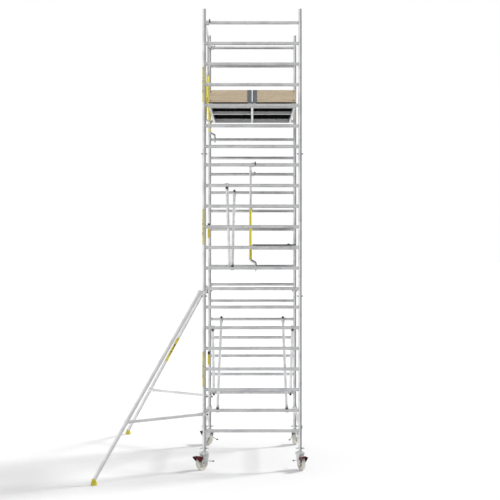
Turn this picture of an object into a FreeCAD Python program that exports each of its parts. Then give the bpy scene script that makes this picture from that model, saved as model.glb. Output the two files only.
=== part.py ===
"""Mobile tower scaffold: two ladder-frame ends, braces, decks, toe boards,
guardrails, two wall-side stabilisers and four braked casters on adjustable legs.

Millimetres, +Z up, +X across the frames, +Y along the platforms. Everything is
built about the middle of the tower at floor level, and the finished assembly is
then moved so that the origin lies at the bottom centre of its bounding box.
"""
import FreeCAD, Part
import math
import os

Vector = FreeCAD.Vector
UP = Vector(0, 0, 1)
ACROSS = Vector(1, 0, 0)
ALONG = Vector(0, 1, 0)

# ---------------------------------------------------------------- driving sizes
BAY_LENGTH = 1850.0            # centre to centre of the two ends
FRAME_WIDTH = 1300.0           # centre to centre of the stiles
LEVELS = 3                     # frames stacked at each end
LEVEL_NAMES = ("base", "mid", "top")

STILE_OD = 50.0
STILE_WALL = 2.0
RUNG_OD = 44.0
RUNG_WALL = 2.0
RUNGS = 7
RUNG_PITCH = 280.0
JOINT_GAP = 250.0              # rung to rung across a frame joint
FIRST_RUNG = 223.0             # lowest rung above the end of its stile

SPIGOT_CLEARANCE = 0.5         # radial, free part in the next stile
SPIGOT_WALL = 3.0
SPIGOT_LENGTH = 160.0
SPIGOT_ROOT = 60.0             # part held in its own stile
LOCK_PIN_RISE = 123.0          # pin above the joint
LOCK_PIN_D = 10.0
LOCK_PIN_REACH = 15.0          # beyond the stile on each side
LOCK_CAP_D = 16.0
LOCK_CAP_LENGTH = 12.0

# casters and adjustable legs
WHEEL_OD = 200.0
WHEEL_WIDTH = 50.0
TYRE_DEPTH = 12.0
HUB_D = 44.0
WEB_THICKNESS = 18.0
WEB_DRAFT = 2.0                # the web's foot beyond the hub
RIM_STEP = 3.0                 # rim inside the tread's sides
RIM_INNER = 18.0               # where the web meets the rim, inside the tyre's bed
RIM_LIP = 14.0
TREAD_FLAT = 0.24              # share of the width that runs flat each side of the middle
TYRE_SHOULDER = 6.0
TYRE_EDGE = 2.0
TYRE_ROUNDING = 4.0
TYRE_BED = 1.0                 # tyre's bed narrower than its sides
AXLE_D = 16.0
AXLE_HEAD_D = 25.0
AXLE_HEAD = 6.0
AXLE_END = 2.0
RUNNING_GAP = 0.3              # radial or face gap between pieces that turn
TRAIL = 45.0                   # axle behind the swivel axis
TREAD_GAP = 8.0                # tread to crown
HEAD_D = 132.0                 # pressed swivel head of the fork
HEAD_HEIGHT = 33.0
HEAD_CHAMFER = 12.0
HEAD_WALL = 4.0
HEAD_BOSS_D = 40.0             # round the kingpin
HOUSING_D = 60.0
HOUSING_HEIGHT = 10.0
CHEEK_GAP = 4.0                # wheel to cheek
CHEEK_THICKNESS = 4.0
CHEEK_END_R = 38.0
CHEEK_SHOULDER = 18.0          # full width below the head
CHEEK_NOSE = 46.0              # front corner ahead of the swivel axis
CHEEK_NOSE_RISE = 38.0         # and above the axle
KINGPIN_D = 20.0
KINGPIN_LENGTH = 33.0
SPINDLE_D = 36.0
FLANGE_THICKNESS = 5.7
BARE_THREAD = 18.0             # thread seen between flange and nut
NUT_HEIGHT = 24.7
NUT_D = 64.0
NUT_BORE_GAP = 0.4
NUT_WING_REACH = 60.0
NUT_WING_WIDTH = 14.0
NUT_WING_HEIGHT = 16.0
SPINDLE_ENGAGED = 430.0        # spindle inside the stile, fully wound in
PEDAL_PIVOT_BACK = 52.0
PEDAL_PIVOT_DROP = 32.0        # below the top of the wheel
PEDAL_PIN_D = 8.0
PEDAL_PIN_REACH = 11.0         # beyond the cheek
PEDAL_SIDE = 4.0               # thickness of the pedal's sides
PEDAL_GAP = 1.0                # cheek to pedal
PEDAL_TOP = 28.0               # tread plate above the pivot
PEDAL_PLATE = 6.0
PEDAL_START = 58.0             # tread plate, behind the pivot
PEDAL_REACH = 136.0            # toe end, behind the pivot
# pedal side, behind and above the pivot
PEDAL_OUTLINE = ((-10, 10), (-10, -10), (8, -18), (46, -42), (70, -49), (PEDAL_REACH, 14),
                 (PEDAL_REACH, PEDAL_TOP), (PEDAL_START, PEDAL_TOP), (10, 14))
SHOE_AFT = 69.0                # brake shoe behind the axle
SHOE_LENGTH = 8.0
SHOE_HALF = 18.0
SHOE_CLEARANCE = 7.6           # to the tread, pedal up
# release arm, behind and above the pivot
RELEASE_LINE = ((0, 0), (-42, -36), (-112, -56), (-176, -70))
RELEASE_WIDTH = 14.0
RELEASE_THICKNESS = 4.0
RELEASE_TIP = 19.0
RELEASE_TIP_WIDTH = 24.0
# corner: name, side across, side along, how far the caster is turned outwards
CORNERS = (("near_left", -1, -1, 41.5), ("near_right", 1, -1, 19.5),
           ("far_left", -1, 1, 41.5), ("far_right", 1, 1, 19.5))

# braces
BRACE_OD = 40.0
BRACE_WALL = 2.0
SOCKET_D = 48.0
SOCKET_HOLD = 40.0             # length of brace tube held in a socket
SOCKET_FLOOR = 28.0            # rung surface to the end of the brace tube
CLAW_WALL = 9.0
CLAW_WIDTH = 46.0
MOUTH = 32.0                   # opening of a claw, closed by its latch
LATCH_WIDTH = 28.0
LATCH_RISE = 13.0              # thumb piece outside the claw
LATCH_LAP = 2.0                # latch reaches past the claw's wall at each side
MOUTH_OVERCUT = 5.0
COUPLER_WALL = 8.0
COUPLER_HEIGHT = 46.0
HORIZONTAL_RISE = 52.0         # horizontal brace above the lowest rung
COUPLER_PIN_D = 12.0
COUPLER_PIN_REACH = 42.0
COUPLER_FLOOR = 5.0            # pin to the end of the brace tube

# platforms
DECK_GAP = 4.0                 # between the two top decks
DECK_SIDE_GAP = 35.0           # stile to deck
DECK_RUNG = 3                  # rung that carries a deck
BOARD_THICKNESS = 12.0
BOARD_END = 2.0                # board end inside the rung axis
RAIL_WIDTH = 30.0
INNER_RAIL_WIDTH = 13.0        # slimmer where two decks meet
RAIL_HEIGHT = 60.0
END_BEAM_WIDTH = 40.0
END_BEAM_GAP = 5.0             # rung to end beam
CROSSBAR_WIDTH = 50.0
CROSSBAR_HEIGHT = 40.0
HOOK_WIDTH = 45.0
HOOK_WALL = 8.0
HOOK_INSET = 8.0
HATCH_LENGTH = 620.0
HATCH_SIDE_MARGIN = 84.0       # board left at each side
HATCH_END_MARGIN = 160.0       # board left at the near end
HATCH_GAP = 3.0
HINGE_D = 12.0
HINGE_PIN_D = 6.0
HINGE_KNUCKLE = 60.0
HINGE_LEAF = 2.0
HINGE_LEAF_WIDTH = 30.0

# toe boards
TOE_HEIGHT = 165.0
TOE_THICKNESS = 20.0
TOE_CENTRE_MARGIN = 50.0       # end board's inner end from the deck's inner edge
TOE_CORNER_INSET = 28.0        # corner bolts from the board's end
TOE_ANGLE = 50.0               # leg of the angle inside a corner
TOE_PLATE = 4.0
TOE_PLATE_WIDTH = 47.0
TOE_BOLT_D = 14.0
TOE_BOLT_HEAD = 5.0
TOE_BOLT_INSET = 24.0

# guardrail units
GUARD_RAIL_OD = 35.0
GUARD_WALL = 2.0
GUARD_POST_OD = 30.0
GUARD_TAIL_OD = 28.0
GUARD_STILE_GAP = 5.0          # left unit's claws to the stile
GUARD_CENTRE_GAP = 7.5         # centre unit's legs to the middle deck
GUARD_CLAW_START = 20.0        # claw ring beside the rail's plane
GUARD_CLAW_WIDTH = 32.0
GUARD_BLOCK = 34.0
GUARD_BLOCK_GAP = 3.0          # rung's end frame to the block
GUARD_SOCKET_WALL = 4.5
GUARD_SOCKET_LENGTH = 33.0
GUARD_TOP_RUNG = 7
GUARD_LOW_RUNG = 2
GUARD_KNEE = 571.0             # top rail down to the junction
GUARD_CONE_D = 62.0
GUARD_CONE_HEIGHT = 46.0
GUARD_FOOT_INSET = 130.0       # leg's low end from the frame
GUARD_FOOT_RISE = 117.0        # above the low rung
GUARD_HOOK_OFFSET = 72.0       # hook beside the rail's plane
GUARD_HOOK_WIDTH = 30.0
GUARD_KNEE_SHARE = 0.2         # of the hook's offset, reached at the first bend
GUARD_KNEE_RUN = 20.0
GUARD_KNEE_DROP = 28.0
GUARD_SHIN_RUN = 25.0
GUARD_SHIN_DROP = 30.0
GUARD_KEEPER = 18.0            # keeper of the sprung pin, along the rung
GUARD_STEM_D = 12.0
GUARD_STEM_LENGTH = 26.0
GUARD_CONE_LIP = 2.0           # cone's top wider than the post
GUARD_LEG_GAP = 0.5            # half the gap between the two legs' heads
GUARD_LEG_START = 2.0          # leg's axis from the post's axis at the junction
LEVER_OFFSET = 65.0
LEVER_WIDTH = 18.0
LEVER_HEIGHT = 54.0
LEVER_THICKNESS = 8.0
LEVER_PIN_D = 8.0
LEVER_PLATE = 5.0
LEVER_RISE = 16.0              # lever's middle above its pin
LEVER_PIN_END = 3.0

# stabilisers
STAB_SWING = 36.0              # degrees from straight out to the left
STAB_REACH = 1675.0            # foot from the stile axis
STAB_TOP_RISE = 49.0           # upper coupler above the lock pins of the lowest joint
STAB_LOW_DROP = 51.0           # lower coupler below the second rung
STAB_STANDOFF = 75.0           # leg axis from the stile axis at the upper coupler
STAB_LEG_OD = 50.0
STAB_LEG_WALL = 2.5
STAB_COUPLER_WALL = 11.0
STAB_COUPLER_HEIGHT = 40.0
STAB_CLAMP_WALL = 6.0
STAB_CLAMP_LENGTH = 56.0
STAB_LEG_HEAD = 28.0           # leg beyond the upper clamp's middle
STAB_ARM_SOCKET = 90.0
STAB_ARM_ROOT = 60.0
FOOT_D = 82.0
FOOT_HEIGHT = 62.0
FOOT_BALL_D = 60.0
FOOT_BALL_DROP = 4.0           # ball's middle below the leg's end
FOOT_SOLE_CHAMFER = 5.0
FOOT_SOLE_HEIGHT = 6.0
FOOT_RIM_HEIGHT = 22.0
FOOT_NECK_INSET = 11.0
FOOT_NECK_HEIGHT = 48.0
FOOT_BASE_HEIGHT = 50.0
STAB_LUG_WIDTH = 32.0
STAB_LUG_LOW = 18.0            # lug below and above the coupler's middle
STAB_LUG_HIGH = 14.0

# ---------------------------------------------------------------- worked out
HALF_WIDTH = FRAME_WIDTH / 2
HALF_BAY = BAY_LENGTH / 2
STILE_R = STILE_OD / 2
RUNG_R = RUNG_OD / 2
SPIGOT_OD = STILE_OD - 2 * STILE_WALL - 2 * SPIGOT_CLEARANCE
FRAME_PITCH = (RUNGS - 1) * RUNG_PITCH + JOINT_GAP
FORK_TOP = WHEEL_OD + TREAD_GAP + HEAD_HEIGHT + HOUSING_HEIGHT
NUT_TOP = FORK_TOP + RUNNING_GAP + FLANGE_THICKNESS + BARE_THREAD + NUT_HEIGHT
BASE_Z = NUT_TOP + RUNNING_GAP
CLAW_TUBE = RUNG_R + SOCKET_FLOOR
COUPLER_TUBE = STILE_R + COUPLER_WALL + COUPLER_PIN_D + COUPLER_FLOOR
DECK_WIDTH = (FRAME_WIDTH - STILE_OD - 2 * DECK_SIDE_GAP - DECK_GAP) / 2
HATCH_WIDTH = DECK_WIDTH - 2 * HATCH_SIDE_MARGIN
BOARD_RISE = RUNG_R + HOOK_WALL            # deck board's underside above the rung axis
GUARD_LEFT_X = -HALF_WIDTH + STILE_R + GUARD_STILE_GAP - GUARD_CLAW_START
GUARD_CENTRE_X = DECK_GAP / 2 - GUARD_CENTRE_GAP - GUARD_RAIL_OD / 2


def rung_z(level, rung):
    """Height of a rung's axis. Levels count from 0, rungs from 1."""
    return BASE_Z + level * FRAME_PITCH + FIRST_RUNG + (rung - 1) * RUNG_PITCH


# ---------------------------------------------------------------- shape helpers
def rod(start, end, diameter):
    """Round bar between two points."""
    run = end - start
    return Part.makeCylinder(diameter / 2, run.Length, start, run)


def tube(start, end, diameter, wall):
    """Round tube between two points."""
    return rod(start, end, diameter).cut(rod(start, end, diameter - 2 * wall))


def block(x0, x1, y0, y1, z0, z1):
    """Box between two corners, given in any order."""
    low = Vector(min(x0, x1), min(y0, y1), min(z0, z1))
    return Part.makeBox(abs(x1 - x0), abs(y1 - y0), abs(z1 - z0), low)


def prism(points, run):
    """Straight prism on a closed outline."""
    return Part.Face(Part.makePolygon(list(points) + [points[0]])).extrude(run)


def turned(profile, centre, axis):
    """Body of revolution. The profile holds (radius, height along the axis) pairs."""
    side = ACROSS if abs(axis.dot(ACROSS)) < 0.5 else UP
    points = [centre + side * radius + axis * height for radius, height in profile]
    return Part.Face(Part.makePolygon(points + [points[0]])).revolve(centre, axis, 360)


def fused(first, *others):
    """One clean solid out of pieces that touch or overlap."""
    return first.fuse(list(others)).removeSplitter()


def placed(shape, angle, x, y):
    """Copy turned about Z and moved over the floor."""
    copy = shape.copy()
    copy.rotate(Vector(0, 0, 0), UP, angle)
    copy.translate(Vector(x, y, 0))
    return copy


# ---------------------------------------------------------------- end frames
def lock_pin_hole(x, y, z):
    """Cross hole that a lock pin fills."""
    reach = ACROSS * STILE_OD
    return rod(Vector(x, y, z) - reach, Vector(x, y, z) + reach, LOCK_PIN_D)


def spigot(x, y, joint_z):
    """Joint spigot: its root fills the stile's bore, its free end is thinner."""
    root = rod(Vector(x, y, joint_z - SPIGOT_ROOT), Vector(x, y, joint_z), STILE_OD - 2 * STILE_WALL)
    free = rod(Vector(x, y, joint_z), Vector(x, y, joint_z + SPIGOT_LENGTH), SPIGOT_OD)
    hollow = rod(Vector(x, y, joint_z - SPIGOT_ROOT), Vector(x, y, joint_z + SPIGOT_LENGTH),
                 SPIGOT_OD - 2 * SPIGOT_WALL)
    return fused(root, free).cut(hollow).cut(lock_pin_hole(x, y, joint_z + LOCK_PIN_RISE))


def end_frame(y, level):
    """Ladder frame: two stiles, seven rungs and the two spigots in its stile tops."""
    low = BASE_Z + level * FRAME_PITCH
    high = low + FRAME_PITCH
    stiles = []
    envelopes = []
    spigots = []
    for x in (-HALF_WIDTH, HALF_WIDTH):
        whole = tube(Vector(x, y, low), Vector(x, y, high), STILE_OD, STILE_WALL)
        stiles.append(whole.cut(lock_pin_hole(x, y, low + LOCK_PIN_RISE)))
        envelopes.append(rod(Vector(x, y, low), Vector(x, y, high), STILE_OD))
        spigots.append(spigot(x, y, high))
    rungs = []
    for number in range(1, RUNGS + 1):
        z = rung_z(level, number)
        rung = tube(Vector(-HALF_WIDTH, y, z), Vector(HALF_WIDTH, y, z), RUNG_OD, RUNG_WALL)
        rungs.append(rung.cut(envelopes[0]).cut(envelopes[1]))
    return stiles + rungs + spigots


def lock_pins():
    """Pins with end caps through every stile joint."""
    pins = []
    for level in range(1, LEVELS):
        z = BASE_Z + level * FRAME_PITCH + LOCK_PIN_RISE
        for x in (-HALF_WIDTH, HALF_WIDTH):
            for y in (-HALF_BAY, HALF_BAY):
                end = ACROSS * (STILE_R + LOCK_PIN_REACH)
                cap = ACROSS * LOCK_CAP_LENGTH
                middle = Vector(x, y, z)
                shaft = rod(middle - end, middle + end, LOCK_PIN_D)
                caps = [rod(middle + end - cap, middle + end, LOCK_CAP_D),
                        rod(middle - end, middle - end + cap, LOCK_CAP_D)]
                pins.append(fused(shaft, *caps))
    return pins


# ---------------------------------------------------------------- casters and legs
# Each caster is modelled with its swivel axis on Z, trailing along +X, then turned
# and moved to its corner.
WHEEL_R = WHEEL_OD / 2
AXLE_AT = Vector(TRAIL, 0, WHEEL_R)
HEAD_LOW = WHEEL_OD + TREAD_GAP
HEAD_TOP = HEAD_LOW + HEAD_HEIGHT
HEAD_R = HEAD_D / 2
CHEEK_IN = WHEEL_WIDTH / 2 + CHEEK_GAP
CHEEK_OUT = CHEEK_IN + CHEEK_THICKNESS
PIVOT = Vector(PEDAL_PIVOT_BACK, 0, WHEEL_OD - PEDAL_PIVOT_DROP)


def caster_wheel():
    """Wheel core and the tyre moulded round it, two solids."""
    rim = WHEEL_R - TYRE_DEPTH
    half = WHEEL_WIDTH / 2
    hub = HUB_D / 2
    web = WEB_THICKNESS / 2
    bore = AXLE_D / 2 + RUNNING_GAP
    shoulder = half - RIM_STEP
    foot = hub + WEB_DRAFT
    inner = rim - RIM_INNER
    lip = rim - RIM_LIP
    core = [(bore, -half), (hub, -half), (foot, -web), (inner, -web), (lip, -shoulder),
            (rim, -shoulder), (rim, shoulder), (lip, shoulder), (inner, web), (foot, web),
            (hub, half), (bore, half)]
    flat = WHEEL_WIDTH * TREAD_FLAT
    bed = half - TYRE_BED
    edge = half - TYRE_ROUNDING
    side = WHEEL_R - TYRE_SHOULDER
    crown = WHEEL_R - TYRE_EDGE
    tyre = [(rim, -bed), (side, -half), (crown, -edge), (WHEEL_R, -flat),
            (WHEEL_R, flat), (crown, edge), (side, half), (rim, bed)]
    return [turned(core, AXLE_AT, ALONG), turned(tyre, AXLE_AT, ALONG)]


def swivel_head():
    """Pressed head over the wheel, open underneath, with its boss and bearing housing."""
    shoulder = HEAD_TOP - HEAD_CHAMFER
    crown = HEAD_R - HEAD_CHAMFER
    boss = HEAD_BOSS_D / 2
    housing = HOUSING_D / 2
    ceiling = HEAD_TOP - HEAD_WALL
    outline = [(0, HEAD_LOW), (boss, HEAD_LOW), (boss, ceiling), (crown - HEAD_WALL / 2, ceiling),
               (HEAD_R - HEAD_WALL, shoulder - HEAD_WALL / 2), (HEAD_R - HEAD_WALL, HEAD_LOW),
               (HEAD_R, HEAD_LOW), (HEAD_R, shoulder), (crown, HEAD_TOP), (housing, HEAD_TOP),
               (housing, FORK_TOP), (0, FORK_TOP)]
    return turned(outline, Vector(0, 0, 0), UP)


def cheek(side):
    """One side plate of the fork, with the stub pin of the brake pedal."""
    inner = side * CHEEK_IN
    run = ALONG * (side * CHEEK_THICKNESS)
    chord = math.sqrt(HEAD_R ** 2 - CHEEK_OUT ** 2) - RUNNING_GAP
    top = HEAD_TOP - HEAD_CHAMFER
    low = HEAD_LOW - CHEEK_SHOULDER
    outline = [(-chord, top), (chord, top), (chord, low), (TRAIL + CHEEK_END_R, WHEEL_R),
               (TRAIL - CHEEK_END_R, WHEEL_R), (-CHEEK_NOSE, WHEEL_R + CHEEK_NOSE_RISE), (-chord, low)]
    plate = prism([Vector(u, inner, z) for u, z in outline], run)
    end_at = Vector(TRAIL, inner, WHEEL_R)
    round_end = rod(end_at, end_at + run, 2 * CHEEK_END_R)
    pin_at = PIVOT + ALONG * inner
    pin_end = PIVOT + ALONG * (side * (CHEEK_OUT + PEDAL_PIN_REACH))
    return fused(plate, round_end, rod(pin_at, pin_end, PEDAL_PIN_D))


def caster_fork():
    """Fork with its bearing housing, and the axle bolt with its spacers as a second solid."""
    kingpin_low = FORK_TOP - KINGPIN_LENGTH - RUNNING_GAP
    kingpin_bore = rod(Vector(0, 0, kingpin_low), Vector(0, 0, FORK_TOP), KINGPIN_D + 2 * RUNNING_GAP)
    half = CHEEK_OUT + AXLE_HEAD + AXLE_END
    shaft = rod(AXLE_AT - ALONG * half, AXLE_AT + ALONG * half, AXLE_D)
    fork = fused(swivel_head(), cheek(1), cheek(-1)).cut(kingpin_bore).cut(shaft)
    axle = [shaft]
    for side in (-1, 1):
        face = AXLE_AT + ALONG * (side * CHEEK_OUT)
        axle.append(rod(face, face + ALONG * (side * AXLE_HEAD), AXLE_HEAD_D))
        inner = AXLE_AT + ALONG * (side * CHEEK_IN)
        spacer = ALONG * (side * (CHEEK_GAP - RUNNING_GAP))
        axle.append(rod(inner - spacer, inner, AXLE_HEAD_D))
    return [fused(*axle), fork]


def band(points, width):
    """Outline of a flat bar of even width that follows the points."""
    left = []
    right = []
    for i, (u, z) in enumerate(points):
        u0, z0 = points[max(i - 1, 0)]
        u1, z1 = points[min(i + 1, len(points) - 1)]
        half = width / 2 / math.hypot(u1 - u0, z1 - z0)
        left.append((u - (z1 - z0) * half, z + (u1 - u0) * half))
        right.append((u + (z1 - z0) * half, z - (u1 - u0) * half))
    return left + right[::-1]


def brake_pedal(side):
    """Pedal that straddles the wheel: tread plate with its brake shoe, two sides, tip and arm."""
    inner = CHEEK_OUT + PEDAL_GAP
    outer = inner + PEDAL_SIDE
    top = PIVOT.z + PEDAL_TOP
    plate_low = top - PEDAL_PLATE
    start = PIVOT.x + PEDAL_START
    plate = block(start, PIVOT.x + PEDAL_REACH, -inner, inner, plate_low, top)
    tread = WHEEL_R + math.sqrt(WHEEL_R ** 2 - SHOE_AFT ** 2)
    shoe = TRAIL + SHOE_AFT
    pad = block(shoe, shoe + SHOE_LENGTH, -SHOE_HALF, SHOE_HALF, tread + SHOE_CLEARANCE, top)
    hole_r = PEDAL_PIN_D / 2 + RUNNING_GAP
    hole = Part.makeCylinder(hole_r, 4 * outer, PIVOT - ALONG * (2 * outer), ALONG)
    sides = []
    for hand in (-1, 1):
        outline = [PIVOT + Vector(u, hand * inner, z) for u, z in PEDAL_OUTLINE]
        sides.append(prism(outline, ALONG * (hand * PEDAL_SIDE)).cut(hole))
    arm_line = band(RELEASE_LINE, RELEASE_WIDTH)
    arm_plate = prism([PIVOT + Vector(u, side * outer, z) for u, z in arm_line],
                      ALONG * (side * RELEASE_THICKNESS))
    eye_at = PIVOT + ALONG * (side * outer)
    eye = rod(eye_at, eye_at + ALONG * (side * RELEASE_THICKNESS), RELEASE_WIDTH + PEDAL_PIN_D)
    end_u, end_z = RELEASE_LINE[-1]
    tip_at = PIVOT + Vector(end_u - RELEASE_TIP / 2, side * (outer + RELEASE_THICKNESS / 2), end_z)
    half = RELEASE_TIP_WIDTH / 2
    tip = block(tip_at.x - RELEASE_TIP / 2, tip_at.x + RELEASE_TIP / 2, tip_at.y - half, tip_at.y + half,
                tip_at.z - RELEASE_WIDTH / 2, tip_at.z + RELEASE_WIDTH / 2)
    arm = fused(arm_plate, eye).cut(tip).cut(hole)
    return [fused(plate, pad), tip, arm] + sides


def leg_spindle():
    """Threaded spindle with its flange and the kingpin that the fork swivels on."""
    flange_low = FORK_TOP + RUNNING_GAP
    flange_top = flange_low + FLANGE_THICKNESS
    kingpin = rod(Vector(0, 0, flange_low - KINGPIN_LENGTH), Vector(0, 0, flange_low), KINGPIN_D)
    flange = rod(Vector(0, 0, flange_low), Vector(0, 0, flange_top), HOUSING_D)
    spindle = rod(Vector(0, 0, flange_top), Vector(0, 0, BASE_Z + SPINDLE_ENGAGED), SPINDLE_D)
    return fused(kingpin, flange, spindle)


def height_nut():
    """Winged nut that carries the stile and runs on the spindle."""
    low = NUT_TOP - NUT_HEIGHT
    body = rod(Vector(0, 0, low), Vector(0, 0, NUT_TOP), NUT_D)
    wing_low = low + (NUT_HEIGHT - NUT_WING_HEIGHT) / 2
    wing = block(-NUT_WING_REACH, NUT_WING_REACH, -NUT_WING_WIDTH / 2, NUT_WING_WIDTH / 2,
                 wing_low, wing_low + NUT_WING_HEIGHT)
    bore = rod(Vector(0, 0, low), Vector(0, 0, NUT_TOP), SPINDLE_D + 2 * NUT_BORE_GAP)
    return fused(body, wing).cut(bore)


def corner_nodes(name, across, along, turn):
    """The five nodes at one corner, with the caster trailing outwards."""
    x = across * HALF_WIDTH
    y = along * HALF_BAY
    heading = math.degrees(math.atan2(along * math.cos(math.radians(turn)),
                                      across * math.sin(math.radians(turn))))
    return {
        "leg_spindle_" + name: [placed(leg_spindle(), 0, x, y)],
        "height_nut_" + name: [placed(height_nut(), 0, x, y)],
        "caster_fork_" + name: [placed(piece, heading, x, y) for piece in caster_fork()],
        "caster_wheel_" + name: [placed(piece, heading, x, y) for piece in caster_wheel()],
        "brake_pedal_" + name: [placed(piece, heading, x, y) for piece in brake_pedal(across * along)],
    }


# ---------------------------------------------------------------- braces
def claw(centre, out, opens):
    """Claw round a rung: a ring with a mouth, and a socket along the brace."""
    half = ACROSS * (CLAW_WIDTH / 2)
    ring = rod(centre - half, centre + half, RUNG_OD + 2 * CLAW_WALL)
    socket = rod(centre, centre + out * (CLAW_TUBE + SOCKET_HOLD), SOCKET_D)
    seat = rod(centre + out * CLAW_TUBE, centre + out * (CLAW_TUBE + SOCKET_HOLD), BRACE_OD)
    grip = rod(centre - half * 2, centre + half * 2, RUNG_OD)
    flat = (out - ACROSS * out.dot(ACROSS)).normalize()
    corner = centre - half * 2 - flat * (MOUTH / 2)
    deep = opens * (RUNG_R + CLAW_WALL + MOUTH_OVERCUT)
    mouth = prism([corner, corner + flat * MOUTH, corner + flat * MOUTH + deep, corner + deep], half * 4)
    return fused(ring, socket).cut(grip).cut(mouth).cut(seat)


def latch(centre, out, opens):
    """Spring latch that closes a claw's mouth, with its thumb piece outside."""
    half = ACROSS * (LATCH_WIDTH / 2)
    flat = (out - ACROSS * out.dot(ACROSS)).normalize()
    low = centre - half - flat * (MOUTH / 2) + opens * (RUNG_R - LATCH_LAP)
    rise = opens * (CLAW_WALL + LATCH_LAP + LATCH_RISE)
    plate = prism([low, low + flat * MOUTH, low + flat * MOUTH + rise, low + rise], half * 2)
    grip = rod(centre - half * 2, centre + half * 2, RUNG_OD)
    return plate.cut(grip)


def diagonal(near, far, opens_up):
    """Diagonal brace between two rungs: tube, two claws, and the two latches."""
    out = (far - near).normalize()
    flat = Vector(0, out.y, out.z).normalize()
    opens = Vector(0, -flat.z, flat.y) if opens_up else Vector(0, flat.z, -flat.y)
    bar = tube(near + out * CLAW_TUBE, far - out * CLAW_TUBE, BRACE_OD, BRACE_WALL)
    body = [bar, claw(near, out, opens), claw(far, out * -1, opens)]
    return body, [latch(near, out, opens), latch(far, out * -1, opens)]


# name: side, level, near rung and its inset from the stile, far rung and its inset, latches above
DIAGONALS = (("left_rising", -1, 0, 2, 180, 6, 180, True), ("left_falling", -1, 0, 6, 115, 2, 65, False),
             ("right_rising", 1, 0, 2, 180, 6, 180, True), ("right_falling", 1, 0, 6, 102, 2, 65, False),
             ("mid_rising", -1, 1, 2, 380, 6, 380, True), ("mid_falling", -1, 1, 6, 307, 2, 307, False))


def diagonal_nodes():
    """Six diagonal braces and the node that gathers their latches."""
    nodes = {}
    latches = []
    for name, side, level, near_rung, near_inset, far_rung, far_inset, opens_up in DIAGONALS:
        near = Vector(side * (HALF_WIDTH - near_inset), -HALF_BAY, rung_z(level, near_rung))
        far = Vector(side * (HALF_WIDTH - far_inset), HALF_BAY, rung_z(level, far_rung))
        body, pair = diagonal(near, far, opens_up)
        nodes["diagonal_brace_" + name] = body
        latches.extend(pair)
    nodes["diagonal_brace_latches"] = latches
    return nodes


def horizontal_braces():
    """Two low horizontal braces, clamped from stile to stile, with their coupler pins."""
    z = rung_z(0, 1) + HORIZONTAL_RISE
    half = UP * (COUPLER_HEIGHT / 2)
    solids = []
    for x in (-HALF_WIDTH, HALF_WIDTH):
        for along in (-1, 1):
            centre = Vector(x, along * HALF_BAY, z)
            out = ALONG * -along
            ring = rod(centre - half, centre + half, STILE_OD + 2 * COUPLER_WALL)
            socket = rod(centre, centre + out * (COUPLER_TUBE + SOCKET_HOLD), SOCKET_D)
            seat = rod(centre + out * COUPLER_TUBE, centre + out * (COUPLER_TUBE + SOCKET_HOLD), BRACE_OD)
            stile = rod(centre - half * 2, centre + half * 2, STILE_OD)
            middle = centre + out * (STILE_R + COUPLER_WALL + COUPLER_PIN_D / 2)
            reach = ACROSS * COUPLER_PIN_REACH
            pin = rod(middle - reach, middle + reach, COUPLER_PIN_D)
            solids.append(fused(ring, socket).cut(stile).cut(seat).cut(pin))
            solids.append(pin)
        start = Vector(x, -HALF_BAY + COUPLER_TUBE, z)
        solids.append(tube(start, Vector(x, HALF_BAY - COUPLER_TUBE, z), BRACE_OD, BRACE_WALL))
    return solids


# ---------------------------------------------------------------- platforms
def deck_hook(x0, y, z, inward):
    """Cast hook over a rung, with the plate that ties it to the end beam."""
    axis0 = Vector(x0, y, z)
    axis1 = Vector(x0 + HOOK_WIDTH, y, z)
    cover = rod(axis0, axis1, RUNG_OD + 2 * HOOK_WALL)
    outer = RUNG_R + HOOK_WALL
    lower = block(x0, x0 + HOOK_WIDTH, y - 2 * outer, y + 2 * outer, z - 2 * outer, z - RUNG_R / 2)
    face = y + inward * (RUNG_R + END_BEAM_GAP)
    beam = block(x0, x0 + HOOK_WIDTH, face, face + inward * outer, z - 2 * outer, z + 2 * outer)
    plate = block(x0, x0 + HOOK_WIDTH, y, face, z - RUNG_R, z + RUNG_R)
    return fused(cover.cut(lower).cut(beam), plate).cut(rod(axis0, axis1, RUNG_OD))


def deck_frame(x0, z):
    """Light frame under a deck: two side rails, two end beams, a crossbar and four hooks."""
    x1 = x0 + DECK_WIDTH
    top = z + BOARD_RISE
    low = top - RAIL_HEIGHT
    end = HALF_BAY - RUNG_R - END_BEAM_GAP
    inner = end - END_BEAM_WIDTH
    solids = []
    widths = (INNER_RAIL_WIDTH, RAIL_WIDTH) if x0 > 0 else (RAIL_WIDTH, INNER_RAIL_WIDTH)
    solids.append(block(x0, x0 + widths[0], -inner, inner, low, top))
    solids.append(block(x1 - widths[1], x1, -inner, inner, low, top))
    for along in (-1, 1):
        solids.append(block(x0, x1, along * inner, along * end, low, top))
        for hook_x in (x0 + HOOK_INSET, x1 - HOOK_INSET - HOOK_WIDTH):
            solids.append(deck_hook(hook_x, along * HALF_BAY, z, -along))
    half_bar = CROSSBAR_WIDTH / 2
    solids.append(block(x0 + widths[0], x1 - widths[1], -half_bar, half_bar, top - CROSSBAR_HEIGHT, top))
    return solids


def hinge_line(x0):
    """Hatch outline and hinge axis on a deck that starts at x0. The hinge is on its outer side."""
    hatch0 = x0 + HATCH_SIDE_MARGIN
    return hatch0, hatch0 + HATCH_WIDTH


def hatch_span():
    """Where the hatch starts and ends along the deck."""
    near = -HALF_BAY + BOARD_END + HATCH_END_MARGIN
    return near, near + HATCH_LENGTH


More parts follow.
